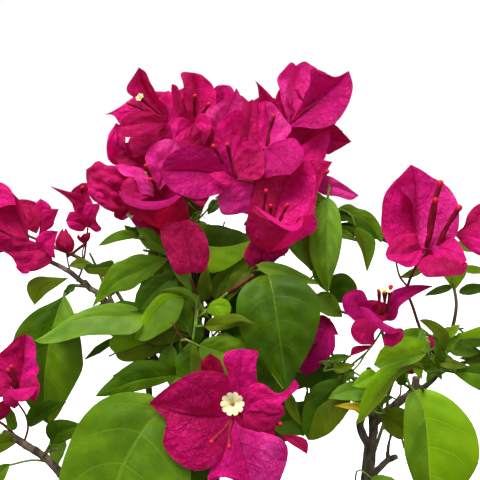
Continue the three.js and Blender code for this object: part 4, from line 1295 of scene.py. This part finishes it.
        (("bright", "pale"), [(-2, -74, -62), (1, -80, -72), (4, -82, -84), (6, -80, -96)], [(-5, -77, -68),
          (-9, -81, -75), (-12.7, -84, -82.8), (-8, -84, -81.3), (-2, -84, -83), (1, -83, -89)],
         [(1, -77, -64.3), (9, -81, -64.9), (16, -84, -66.2), (18.3, -84, -70), (17, -84, -78),
          (12, -82, -90)], 0.6),
    ],
    "behindFront": [
        ("ember", [(-8, -68, -50), (-10, -69, -43), (-11.7, -70, -36.8)],
         [(-13, -70, -47), (-15.5, -70, -41)], [(-6, -69, -46), (-7.8, -69, -40)], 0.3),
        ("rose", [(15, -76, -67.3), (21, -79, -68.5), (25.7, -80, -74)],
         [(20, -79, -66.6), (24.5, -80, -67.5), (26, -80, -70)], [(19, -79, -69.8), (22.5, -80, -71.8)], 0.2),
        ("deep", [(-3, -68, -60), (6, -70, -66), (13, -72, -73)], [(4, -71, -59), (13, -72, -63)],
         [(-2, -71, -68), (4, -73, -76)], 0.8),
    ],
    "middleSide": [
        ("violet", [(40, -18, -33), (35, -22, -42), (28.5, -26, -56.7)],
         [(33.5, -18, -32), (30, -22, -44), (26.2, -25, -53.5)],
         [(41.5, -21, -39), (41.9, -24, -43), (40.7, -26, -46.6), (34, -27, -53.7)], 0.8),
        ("deep", [(34, -17, -34), (38, -19, -34.5), (43.6, -21, -39.9)],
         [(36.7, -18, -31.4), (40.8, -19, -34.4)], [(37, -20, -38), (40.5, -21, -39.6)], 0.4),
    ],
    "sideOn": [
        ("violet", [(58, -28, -33), (51, -30, -26), (49.5, -30, -18)],
         [(51, -32, -33), (46, -33, -29), (43.5, -32, -24), (45, -31, -20)],
         [(57, -30, -27), (55, -31, -23), (52.7, -31, -18.6)], 0.7),
        ("deep", [(59, -28, -33), (60, -26, -28), (60, -27, -23.4)], [(54, -30, -29), (54, -30, -23)],
         [(65, -30, -31), (66, -29, -26)], 0.6),
        ("violet", [(62, -28, -32), (66, -29, -24), (73, -30, -19), (83, -30, -16.6)],
         [(63.5, -29, -25), (65, -29, -19.5), (70, -30, -16.9), (76, -30, -16.1)],
         [(65.5, -32, -31.3), (67.2, -33, -28), (68.5, -32, -25), (75, -31, -20.5)], 0.3),
        ("deep", [(58, -30, -31), (54, -36, -35), (54, -38, -40.5)],
         [(50, -34, -30.3), (46.9, -36, -34), (48, -37, -38), (50.8, -38, -40.3)],
         [(60.5, -34, -33.2), (57, -36, -36), (57, -37, -40.4)], 0.6),
        ("violet", [(50, -37, -24.3), (55.5, -43, -29), (61, -47, -31.8), (66.6, -46, -33)],
         [(54, -39, -25), (59, -43.5, -29.2), (63.5, -45, -31.6)],
         [(51.5, -39, -27.5), (56.5, -45, -31.5), (61.5, -48, -34)], 0.2),
        ("deep", [(63, -45, -32), (63.6, -46, -36), (63, -46, -39.8)],
         [(59.8, -45, -34.5), (59.8, -46, -38.6)], [(67.8, -44, -32.6), (67.2, -45, -37)], 0.4),
        ("rose", [(57, -33, -41.8), (52, -35, -42.6), (46.8, -36, -45.9)],
         [(52, -35, -41.4), (47.8, -36, -42)], [(53, -36, -43.6), (49.5, -36, -45)], 0.2),
    ],
    "rightBig": [
        (("bright", "pale"), [(79, -26, -1), (76.3, -19, 8), (76, -17, 18), (76, -18, 27), (73.7, -22, 35)],
         [(66, -30, -2), (62.2, -30, 4), (60.1, -29, 13.5), (60.7, -28, 21), (64.2, -26, 26),
          (69.5, -24, 31.5)],
         [(87, -32, -1), (92, -32, 6), (93.3, -31, 14), (91.5, -29, 20.5), (87.5, -27, 26.5), (81, -24, 31)],
         0.9),
        ("violet", [(76.4, -21, 4), (74.8, -24, 17), (72, -23.5, 26.3)],
         [(75.2, -24, 8), (73.5, -27, 19), (68.8, -26, 25)],
         [(76.6, -19, 10), (76.2, -18, 20), (76, -18.5, 26.8)], 0.2),
        (("deep", "bright"), [(78, -28, -1), (70, -34, -2), (61, -36, -2.5)],
         [(74, -28, 5), (67, -30, 4.5), (62.7, -33, 0.7)],
         [(76.5, -34, -4.6), (72, -37, -7.8), (66, -37, -6), (62.3, -37, -4.6)], 1.3),
        ("deep", [(84, -24, -11), (84, -25, -4), (84, -23, 4)], [(77, -24, -7), (77, -24, 0)],
         [(91, -25, -7), (91, -24, 0)], 0.6),
        ("deep", [(81, -30, -3), (85, -40, -6), (87, -44, -10.4)],
         [(76, -33, -5.5), (74.5, -39, -8.6), (78, -43, -11.2)],
         [(90, -40, -4), (94.6, -41, -5.2), (92.5, -43, -9.2)], 0.5),
        ("bright", [(82, -28, -1), (88, -36, 0), (94.6, -40, -4.3)],
         [(86, -29, 3.7), (91, -32, 4.2), (93, -36, 1)], [(83, -36, -6), (88, -41, -6.4), (92, -42, -5.6)],
         0.6),
    ],
    "rightEdge": [
        ("deep", [(92, -22, 4.3), (103, -16, 10), (117, -16, 16)],
         [(97, -20, 7.4), (100, -17, 13), (104.6, -15, 17.2), (111, -15, 18.8)],
         [(97, -22, 2.8), (104, -20, 1.3), (112, -18, 7)], 0.5),
        ("bright", [(94, -20, 4), (103, -25, 1), (110, -25, -3)], [(99, -22, 4), (107, -24, 2)],
         [(99, -24, -1.6), (105, -26, -4.6)], 0.8),
    ],
}
flowerTubeSets = [
    # foot, mouth, state
    ((-32, -12, 54), (-42.3, -23, 63.3), "withered"), ((-40, -22, 58), (-46.8, -24, 61), "closed"),
    ((-20, -9, 56), (-19.6, -16, 64), "closed"),
    ((-16.5, -16, 57), (-13.7, -19, 60.5), "closed"), ((-46, -20, 20), (-47, -24, 14), "withered"),
    ((-24, -26, 33), (-25.5, -30, 39), "thin"), ((-1.5, -36, 29.5), (-5, -42, 43), "closed"),
    ((-7, -38, 36), (-10.5, -41, 42.5), "closed"),
    ((-33, -28, 21), (-39, -36, 34.2), "closed"), ((-36, -30, 27), (-37, -37, 29), "closed"),
    ((11.5, -22, 43), (14.2, -25, 55), "closed"),
    ((23.5, -12, 53.5), (34, -19, 62.3), "thin"), ((9.5, -36, 15), (10.7, -40, 24), "closed"),
    ((13.5, -38, 12), (12.7, -42, 18), "closed"),
    ((16.5, -40, 12), (19.2, -42, 18.3), "closed"), ((34, -22, 27), (37, -24, 31.6), "closed"),
    ((-95, -14, 0.5), (-108, -22, 9), "closed"),
    ((-70.5, -8, 22), (-70, -10, 24), "closed"), ((-95, -34, -60), (-97, -36, -51), "closed"),
    ((-96, -35, -60), (-98, -38, -52), "closed"),
    ((-3, -80, -58.5), (-2.7, -89, -52), "open"), ((-3, -80, -60), (-10.2, -90, -65.3), "closed"),
    ((-3, -80, -60), (-4, -91, -66.7), "closed"),
    ((11, -76, -62), (14.8, -81, -61.6), "closed"), ((60, -32, -29), (59, -34, -18.6), "closed"),
    ((61, -32, -29), (61.3, -35, -18.8), "openSide"),
    ((63, -32, -28), (63.9, -34, -17), "closed"), ((79.8, -28, 0), (81.4, -37, 19.5), "thick"),
    ((80.5, -30, 6), (83.5, -35, 26.6), "thick"),
    ((84.5, -30, 0.5), (90.9, -37, 16.6), "thick"),
]
drawnHabit = {"puff": 0.9, "wave": 0.5, "waves": 3.0, "creaseCount": 7, "fineCreases": 9}


def crushed(s, t, amount, dice):
    # straight creases, as in paper that was crushed and opened, with softer swells between them
    lift = 0 * s
    for k in range(drawnHabit["creaseCount"]):
        angle, place = dice.uniform(0, np.pi), dice.uniform(-0.7, 0.7)
        gap = (2 * s - 1) * 1.2 * np.cos(angle) + t * np.sin(angle) - place
        lift = lift + 0.75 * (-1) ** k * (np.abs(gap) - 0.45)
    for k in range(drawnHabit["fineCreases"]):
        angle, place, reach = dice.uniform(0, np.pi), dice.uniform(-0.8, 0.8), dice.uniform(-0.8, 0.8)
        gap = (2 * s - 1) * 1.2 * np.cos(angle) + t * np.sin(angle) - place
        along = -(2 * s - 1) * 1.2 * np.sin(angle) + t * np.cos(angle) - reach
        lift = lift + 0.9 * (-1) ** k * np.maximum(0.22 - np.abs(gap), 0) * np.exp(-((along / 0.5) ** 2)) * 2
    a, b, c, d = (dice.random() for _ in range(4))
    turn = 2 * np.pi
    lift = lift + 0.7 * np.sin(turn * (1.3 * s + 0.7 * t + a)) * np.sin(turn * (0.9 * t + 0.5 * s + b))
    lift = lift + 0.3 * np.sin(turn * (3.3 * s - 1.4 * t + c)) * np.sin(turn * (2.2 * t + 1.3 * s + d))
    return amount * lift


def drawBract(tints, middle, first, second, crush, dice):
    seed, habit = dice.random(), drawnHabit

    def liftOf(s, t, sign, breadth):
        lift = habit["puff"] * 4 * t * (1 - t) + crushed(s, sign * t, crush, random.Random(seed))
        ripple = np.sin(2 * np.pi * (habit["waves"] * s + seed + 0.3 * sign))
        return lift + habit["wave"] * (0.4 + crush) * t**2 * ripple

    drawSheet("bracts", tints, middle, first, second, liftOf)


bractHabit = {
    "cut": "bract", "fold": 5, "cup": 0.45, "arch": 0.05, "crumple": 1.0, "wave": 1.3, "waves": 2.6,
    "quilt": 0.15, "pairs": 4,
}
tubeShapes = {
    # radius at six places from the foot to the mouth
    "closed": (0.6, 0.95, 0.6, 0.6, 0.85, 0.8),
    "open": (0.6, 0.95, 0.6, 0.6, 0.9, 1.3),
    "openSide": (0.6, 0.9, 0.6, 0.6, 0.9, 1.3),
    "withered": (0.6, 0.8, 0.55, 0.55, 0.8, 1.0),
    "thick": (0.9, 1.35, 1.05, 0.9, 1.2, 1.15),
    "thin": (0.5, 0.5, 0.4, 0.4, 0.35, 0.2),
}
star = {"radius": 4.4, "lobes": 10, "lobeDepth": 0.2, "eye": 0.9}


def addStar(place, heading, size):
    # a flat frilled disc of ten scallops on a short funnel
    heading = unit(heading)
    right = unit(np.cross(heading, (0, 0.1, 1)))
    over = np.cross(right, heading)
    around, rows = 60, 7
    angles = np.linspace(0, 2 * np.pi, around, endpoint=False)
    points, faces = [], []
    for row in range(rows):
        share = row / (rows - 1)
        notch = np.abs(np.cos(size["lobes"] / 2 * angles)) ** 0.35
        radius = size["radius"] * (0.18 + 0.82 * share) * (1 - size["lobeDepth"] * share**4 * (1 - notch))
        lift = -1.2 * (share - 1) ** 2 + 0.3 * share**2 * notch + 0.25 * share * np.cos(5 * angles + 0.6)
        ring = place + np.outer(
            radius * np.cos(angles), right,
        ) + np.outer(radius * np.sin(angles), over) + np.outer(lift, heading)
        points.append(ring)
    for row in range(rows - 1):
        for k in range(around):
            a, b = row * around + k, row * around + (k + 1) % around
            faces.append([a, a + around, b + around, b])
    points = np.concatenate(points)
    uv = np.zeros((len(points), 2))
    addToSpray("starPetals", points, np.array(faces), uv)
    addTube(
        "starEyes", [place - heading * 1.6, place - heading * 0.5], size["eye"], size["eye"] * 0.8, sides=10,
        step=0.5,
    )


def addFlowerTube(base, tip, state, dice):
    base, tip = np.array(base, float), np.array(tip, float)
    reach = tip - base
    length = np.linalg.norm(reach)
    sag = unit(np.cross(reach, (dice.gauss(0, 1), dice.gauss(0, 1), dice.gauss(0, 1)))) * length * 0.04
    path = smoothPath([base, base + reach * 0.5 + sag, tip], 1.2)
    share = np.linspace(0, 1, len(path))
    radii = np.interp(share, np.linspace(0, 1, 6), tubeShapes[state])
    addToSpray("flowerTubes", *tubeAlong(np.vstack([path[0], path]), np.concatenate([[0], radii]), 10))
    heading = unit(path[-1] - path[-3])
    if state in ("closed", "thick"):
        size = radii[-1]
        ends = [
            path[-1] - heading * 0.2, path[-1] + heading * 0.8 * size, path[-1] + heading * 1.7 * size,
            path[-1] + heading * 2.2 * size,
        ]
        bud = np.array([size * 0.98, size * 1.25, size * 0.95, 0])
        addToSpray("flowerTips", *tubeAlong(np.array(ends), bud, 10))
    elif state == "open":
        addStar(path[-1] + heading * 1.5, (0.03, -1, 0.12), star)
    elif state == "openSide":
        addStar(path[-1] + heading * 1.5, (0.1, -0.25, 1), {**star, "radius": 3.4})
    elif state == "withered":
        addStar(
            path[-1] + heading * 0.6, heading + np.array([0, -0.5, 0.2]),
            {**star, "radius": 1.9, "lobeDepth": 0.3, "eye": 1.0},
        )


dice = random.Random(7)
for bracts in drawnBlooms.values():
    for tints, middle, first, second, crush in bracts:
        drawBract(tints, middle, first, second, crush, dice)
for base, tip, state in flowerTubeSets:
    addFlowerTube(base, tip, state, dice)
print("front blooms:", len(drawnBlooms))


def planBloom(base, axis, size, dice, tints):
    plan = []
    axis = unit(axis)
    right = unit(np.cross(axis, (0.3, 0.1, 1)))
    over = np.cross(right, axis)
    start = dice.uniform(0, 2 * math.pi)
    for k in range(3):
        angle = start + k * 2 * math.pi / 3 + dice.uniform(-0.25, 0.25)
        flare = math.radians(dice.uniform(28, 62))
        out = right * math.cos(angle) + over * math.sin(angle)
        tip = base + (axis * math.cos(flare) + out * math.sin(flare)) * size * dice.uniform(0.88, 1.1)
        bend = {
            "cup": dice.uniform(0.2, 0.7), "crumple": dice.uniform(0.5, 1.4), "fold": dice.uniform(2, 14),
            "arch": dice.uniform(-0.06, 0.1),
        }
        # lit and shaded copies of the magenta are dealt at random: painted light and shade
        tint = dice.choices(tints, [5, 4, 1])[0]
        along = unit(tip - base)
        face = unit(axis - along * axis.dot(along) + np.array([0, -0.05, 0]))
        blade = {
            **bractHabit, "base": base, "tip": tip, "face": face, "width": size * dice.uniform(0.68, 0.85),
            **bend,
        }
        tube = base + (axis + out * 0.25) * size * 0.55 if dice.random() < 0.7 else None
        plan.append((tint, blade, tube))
    return plan


# Stalks carry the drawn leaves and blooms. They start from the boughs, or from a stem that is stout enough.
woodPoints = np.concatenate([
    *limbLines.values(), *[smoothPath(path, 3.0) for path, foot, _, _ in frontStems.values() if foot > 0.45],
])


def shownLength(path):
    return 2.0 * (1 - hiddenShare(smoothPath(path, 2.0))).sum()


def carry(base, ahead, radius, skinName):
    # a stalk from the wood that stands near; it runs behind the leaves where it can
    base = np.array(base, float)
    gaps = np.linalg.norm(woodPoints - base, axis=1)
    if gaps.min() < 4:
        return
    best = None
    for i in np.argsort(gaps)[:200:3]:
        lead = base - unit(np.array(ahead, float) - base) * 0.25 * min(gaps[i], 30)
        path = [woodPoints[i], woodPoints[i] * 0.5 + lead * 0.5 + np.array([0, 1.5, 0]), lead, base]
        cost = 0.5 * gaps[i] + 3 * shownLength(path)
        if best is None or cost < best[0]:
            best = (cost, path)
    addTube("stems" + skinName, best[1], radius * 1.2, radius, sides=6, step=2.5, closed=False)


for _, middle, _, _, _, _ in drawnLeaves.values():
    carry(middle[0], middle[1], 0.6, "GreenStalk")
for base, tip, _, _ in smallLeaves:
    carry(base, tip, 0.4, "GreenStalk")
for bracts in drawnBlooms.values():
    bases = np.array([middle[0] for _, middle, _, _, _ in bracts], float)
    tips = np.array([middle[-1] for _, middle, _, _, _ in bracts], float)
    if min(np.linalg.norm(woodPoints - base, axis=1).min() for base in bases) > 5:
        carry(bases[bases[:, 1].argmax()] + np.array([0, 0.5, 0]), tips.mean(axis=0), 0.6, "RedStalk")


# Leaf masses: how many leaves each asks for; those that would show in a gap of the crown are left out
leafMasses = {
    "leaves_left_top": 9, "leaves_left_hanging": 8, "leaves_left_mid": 9, "leaves_left_inner": 8,
    "leaves_low_left": 8, "leaves_front_left": 6, "leaves_heart": 18, "leaves_centre_front": 4,
    "leaves_right_top": 16, "leaves_centre_right": 10, "leaves_right_front": 7, "leaves_right_big": 8,
    "leaves_right_tip": 10, "leaves_right_far": 10, "leaves_centre": 16, "leaves_back_top": 36,
    "leaves_back_left": 30, "leaves_back_right": 30, "leaves_back_centre": 36, "leaves_low_front": 24,
    "leaves_low_side": 24, "leaves_low_right": 24, "leaves_low_back": 36, "leaves_skirt_front": 18,
    "leaves_skirt_back": 22,
}
leafHabit = {
    "length": (34, 58), "width": (0.56, 0.7), "stalk": (5, 10), "fold": (6, 26), "arch": (0.04, 0.14),
    "droop": (0.05, 0.5), "tries": 160, "shown": 8, "shownBehind": 40,
}


def showsBetween(points):
    # more than a trace of it would show in a gap of the crown, seen from the front
    return hiddenShare(points).mean() < 0.985


def hiddenTwig(starts, aim, rise, dice):
    # of a few places and bends, the one that shows least between the leaves
    best = None
    for _ in range(24):
        start = starts[dice.randrange(len(starts))]
        bend = (start + aim) / 2 + np.array([
            dice.uniform(-9, 9), dice.uniform(-4, 12),
            rise * np.linalg.norm(aim - start) + dice.uniform(-6, 6),
        ])
        shown = shownLength([start, bend, aim])
        if best is None or shown < best[0]:
            best = (shown, [start, bend, aim])
    return best


def mostShown(middle):
    # millimetres of a main twig that may show from the front; a mass at the back has more to spare
    return leafHabit["shownBehind" if middle[1] > 20 else "shown"]


def growMass(massName, count, dice):
    middle, half = crownBoxOf(massName)
    starts = nearestOnLimbs(middle)
    out = unit([middle[0], middle[1], 0.25 * (middle[2] + 60)])
    shown, path = hiddenTwig(starts, middle + out * half * 0.6, 0.1, dice)
    if shown > mostShown(middle):
        return 0
    mainTwig = addTube("stemsTwig", path, 1.3, 0.5, sides=7, step=3.0)
    twigs = [mainTwig]
    for _ in range(max(3, count // 3)):
        aim = middle + half * np.array([dice.uniform(-0.8, 0.8) for _ in range(3)])
        shown, path = hiddenTwig(mainTwig[len(mainTwig) // 4 : -2], aim, 0.05, dice)
        if shown < 3:
            twigs.append(addTube("stemsTwig", path, 0.8, 0.4, sides=6, step=3.0))
    placed, tries, most = 0, 0, count * leafHabit["tries"]
    while placed < count and tries < most:
        tries += 1
        twig = twigs[dice.randrange(len(twigs))]
        node = twig[min(len(twig) - 1, int(dice.uniform(0.25, 1.0) * len(twig)))]
        heading = unit(twig[-1] - twig[0])
        away = unit([dice.gauss(0, 1), dice.gauss(0, 1), dice.gauss(0, 0.6)])
        away = unit(away - heading * away.dot(heading) * 0.6 + out * 0.55)
        aim = unit(away + heading * 0.35 - np.array([0, 0, dice.uniform(*leafHabit["droop"])]))
        length = dice.uniform(*leafHabit["length"]) * (1 - 0.45 * tries / most)
        base = node + away * dice.uniform(*leafHabit["stalk"])
        tip = base + aim * length
        if showsBetween(np.array([base, (base + tip) / 2, tip])):
            continue
        face = np.array([0, 0, 1.0]) + out * dice.uniform(0.4, 1.1)
        face = unit(face + np.array([dice.gauss(0, 0.25) for _ in range(3)]))
        if abs(face.dot(aim)) > 0.93:
            continue
        blade = {
            "base": base, "tip": tip, "face": face, "width": length * dice.uniform(*leafHabit["width"]),
            "fold": dice.uniform(*leafHabit["fold"]), "arch": dice.uniform(*leafHabit["arch"]),
            "twist": dice.uniform(-25, 25), "wave": 1.0, "sheet": "small",
        }
        shape = shapeBlade(blade, random.Random(1))[0]
        if showsBetween(shape) or (np.abs((shape - middle) / (half + 9)) > 1).any():
            continue
        # leaves deep in the crown take the dark tint more often: painted shade
        shadedInside = middle[1] + half[1] * 0.2 < 10 and np.linalg.norm((node - middle) / half) < 0.5
        tint = dice.choices(
            ["dark", "mid", "light", "lime", "olive"], [6, 5, 1.2, 0.6, 1.4] if shadedInside else [4, 6, 2, 1, 1],
        )[0]
        addBlade("leaves" + tint.capitalize(), blade, dice)
        addStalkTo(node, blade, dice)
        placed += 1
    return placed


dice = random.Random(11)
grown = {massName: growMass(massName, count, dice) for massName, count in leafMasses.items()}
print(
    "leaves grown:", sum(grown.values()), "of", sum(leafMasses.values()),
    {k: v for k, v in grown.items() if v < leafMasses[k]},
)


# Blooms on the sides and the back, grown in their masses: how many each asks for
backBlooms = {
    "bloom_back_a": 5, "bloom_back_b": 5, "bloom_back_c": 4, "bloom_back_d": 4, "bloom_top_b": 1,
    "bloom_top_f": 1, "bloom_top_g": 1,
    "bloom_top_h": 1, "bloom_top_i": 2, "bloom_top_e": 1, "bloom_left_a": 1, "bloom_left_b": 1,
    "bloom_right_b": 1, "bloom_mid_right": 1,
}
bloomHabit = {"size": (24, 31), "smaller": 0.45, "below": 42, "leaves": 5, "tries": 480}


def growBloomMass(massName, count, dice):
    middle, half = crownBoxOf(massName)
    starts = nearestOnLimbs(middle - np.array([0, 0, bloomHabit["below"]]))
    end = middle + half * ((0, 0.7, -0.2) if middle[1] < 20 else (0, 0, -0.2))
    shown, path = hiddenTwig(starts, end, 0.12, dice)
    if shown > mostShown(middle):
        return 0
    cane = addTube("stemsTwig", path, 1.1, 0.6, sides=7, step=3.0)
    placed, tries = 0, 0
    while placed < count and tries < bloomHabit["tries"]:
        tries += 1
        back = np.array([
            dice.uniform(-0.6, 0.6), dice.uniform(0.1, 0.6) if middle[1] < 20 else dice.uniform(-0.4, 0.4),
            dice.uniform(-0.5, 0.3),
        ])
        base = middle + half * back
        axis = unit([base[0] * 0.6, 40 + dice.uniform(-10, 20), 25 + dice.uniform(-10, 25)])
        size = dice.uniform(*bloomHabit["size"]) * (1 - bloomHabit["smaller"] * tries / bloomHabit["tries"])
        # the tints passed are lit and shaded copies of one magenta: painted light and shade
        plan = planBloom(base, axis, size, dice, ["deep", "bright", "pale"])
        shapes = np.concatenate([shapeBlade(blade, random.Random(1))[0] for _, blade, _ in plan])
        if showsBetween(shapes) or (np.abs((shapes - middle) / (half + 12)) > 1).any():
            continue
        placed += 1
        root = cane[int(len(cane) * dice.uniform(0.55, 0.99))]
        addTube(
            "stemsRedStalk", [root, (root + base) / 2 + np.array([0, 0, 2]), base], 0.7, 0.5, sides=6,
            step=3.0,
        )
        for tint, blade, tube in plan:
            addBlade("bracts" + tint.capitalize(), blade, dice)
            if tube is not None:
                addFlowerTube(base, tube, "closed", dice)
    for _ in range(bloomHabit["leaves"] * 12):
        root = cane[int(len(cane) * dice.uniform(0.2, 0.9))]
        away = unit([dice.gauss(0, 1), dice.gauss(0.4, 1), dice.gauss(-0.1, 0.6)])
        length = dice.uniform(22, 38)
        base = root + away * 6
        blade = {
            "base": base, "tip": base + away * length, "face": (away[0] * 0.5, 0.6, 1), "width": length * 0.6,
            "fold": 14, "sheet": "small",
        }
        shape = shapeBlade(blade, random.Random(1))[0]
        if not showsBetween(shape) and (np.abs((shape - middle) / (half + 12)) < 1).all():
            addBlade("leaves" + dice.choice(["Mid", "Mid", "Light", "Dark"]), blade, dice)
            addStalkTo(root, blade, dice)
    return placed


dice = random.Random(23)
grown = {massName: growBloomMass(massName, count, dice) for massName, count in backBlooms.items()}
print(
    "back blooms grown:", sum(grown.values()), "of", sum(backBlooms.values()),
    {k: v for k, v in grown.items() if v < backBlooms[k]},
)


# Thorns on the boughs and twigs

thorn = {"length": (3.5, 7.5), "foot": 0.65, "count": 60, "top": -80}
dice = random.Random(31)
for _ in range(thorn["count"]):
    key = dice.choice([k for k in limbLines if k not in (
        "knotLeft", "knotRight", "rightStub", "rightStubTwig",
    )])
    line = limbLines[key]
    i = dice.randrange(len(line) // 3, len(line) - 1)
    if line[i][2] > thorn["top"]:
        continue
    heading = unit(line[i + 1] - line[i])
    out = unit(np.cross(heading, [dice.gauss(0, 1) for _ in range(3)]))
    length = dice.uniform(*thorn["length"])
    tipPlace = line[i] + out * (length + 1.5) + heading * length * 0.3 - np.array([0, 0, 0.15 * length])
    addTube(
        "stemsTwig", [line[i], line[i] + out * length * 0.6 + heading * length * 0.15, tipPlace],
        thorn["foot"], 0.08, sides=6, step=1.5,
    )


# Each spray becomes one piece
leafNodes = [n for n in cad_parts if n.startswith("leaves_")]
bloomNodes = [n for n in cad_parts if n.startswith("bloom_")]
for sprayName in [k for k in sprays if k.startswith("leaves")]:
    joinSpray(sprayName, skins["leaf" + sprayName[6:]], leafNodes)
for sprayName in [k for k in sprays if k.startswith("bracts")]:
    joinSpray(sprayName, skins["bract" + sprayName[6:]], bloomNodes)
for sprayName in [k for k in sprays if k.startswith("stems")]:
    joinSpray(sprayName, skins[sprayName[5].lower() + sprayName[6:]])
joinSpray("flowerTubes", skins["flowerTube"])
joinSpray("flowerTips", skins["flowerTip"])
joinSpray("starPetals", skins["flowerCream"])
joinSpray("starEyes", skins["flowerEye"])


# Floor and light
room = {
    "floorSize": 8.0, "floorTone": 0.92, "floorGlow": 0.8, "lowLight": 0.2, "skyLight": 1.0, "shine": 0.35,
    "keyPower": 29.0, "keySize": 0.8, "fillPower": 2.4,
}


def makeFloor():
    bm = bmesh.new()
    bmesh.ops.create_grid(bm, x_segments=1, y_segments=1, size=room["floorSize"] / 2)
    mesh = bpy.data.meshes.new("floor")
    bm.to_mesh(mesh)
    bm.free()
    floor = bpy.data.objects.new("floor", mesh)
    floor.visible_diffuse = False  # it shows, and takes shadow, but throws no light up
    floor.visible_glossy = False
    floor.visible_transmission = False
    bpy.context.collection.objects.link(floor)
    skin, tree = newSkin("paleFloor")
    surface = node(tree, "ShaderNodeBsdfPrincipled")
    surface.inputs["Base Color"].default_value = (room["floorTone"],) * 3 + (1,)
    surface.inputs["Roughness"].default_value = 0.9
    surface.inputs["Emission Color"].default_value = (1, 1, 1, 1)
    surface.inputs["Emission Strength"].default_value = room["floorGlow"]
    output = node(tree, "ShaderNodeOutputMaterial")
    wire(tree, surface.outputs[0], output.inputs[0])
    mesh.materials.append(skin)


def makeLamp(lampName, offset, power, size):
    data = bpy.data.lights.new(lampName, "AREA")
    data.energy = power
    data.size = size
    lamp = bpy.data.objects.new(lampName, data)
    bpy.context.collection.objects.link(lamp)
    lamp.location = crownMiddle + Vector(offset)
    lamp.rotation_mode = "QUATERNION"
    lamp.rotation_quaternion = (crownMiddle - lamp.location).to_track_quat("-Z", "Y")


def makeWorld():
    world = bpy.data.worlds.new("softRoom")
    world.use_nodes = True
    tree = world.node_tree
    tree.nodes.clear()
    rays = node(tree, "ShaderNodeLightPath")
    light = node(tree, "ShaderNodeBackground")
    light.inputs[0].default_value = (0.96, 0.98, 1.0, 1)
    heading = node(tree, "ShaderNodeTexCoord")
    parts = node(tree, "ShaderNodeSeparateXYZ")
    wire(tree, heading.outputs["Generated"], parts.inputs[0])
    glow = ramp(tree, parts.outputs[2], -0.7, 0.9, room["lowLight"], room["skyLight"])
    wire(
        tree,
        sums(tree, "MULTIPLY", glow, ramp(tree, rays.outputs["Is Glossy Ray"], 0, 1, 1.0, room["shine"])),
        light.inputs[1],
    )
    plain = node(tree, "ShaderNodeBackground")
    plain.inputs[0].default_value = (1, 1, 1, 1)
    plain.inputs[1].default_value = 1.0
    mixed = node(tree, "ShaderNodeMixShader")
    wire(tree, rays.outputs["Is Camera Ray"], mixed.inputs[0])
    wire(tree, light.outputs[0], mixed.inputs[1])
    wire(tree, plain.outputs[0], mixed.inputs[2])
    output = node(tree, "ShaderNodeOutputWorld")
    wire(tree, mixed.outputs[0], output.inputs[0])
    bpy.context.scene.world = world


makeFloor()
makeLamp("keyLamp", (-0.35, -0.5, 1.2), room["keyPower"], room["keySize"])
makeLamp("fillLamp", (0.9, -0.8, 0.3), room["fillPower"], 0.8)
makeWorld()
bpy.context.scene.view_settings.view_transform = "Standard"
bpy.context.scene.view_settings.look = "None"
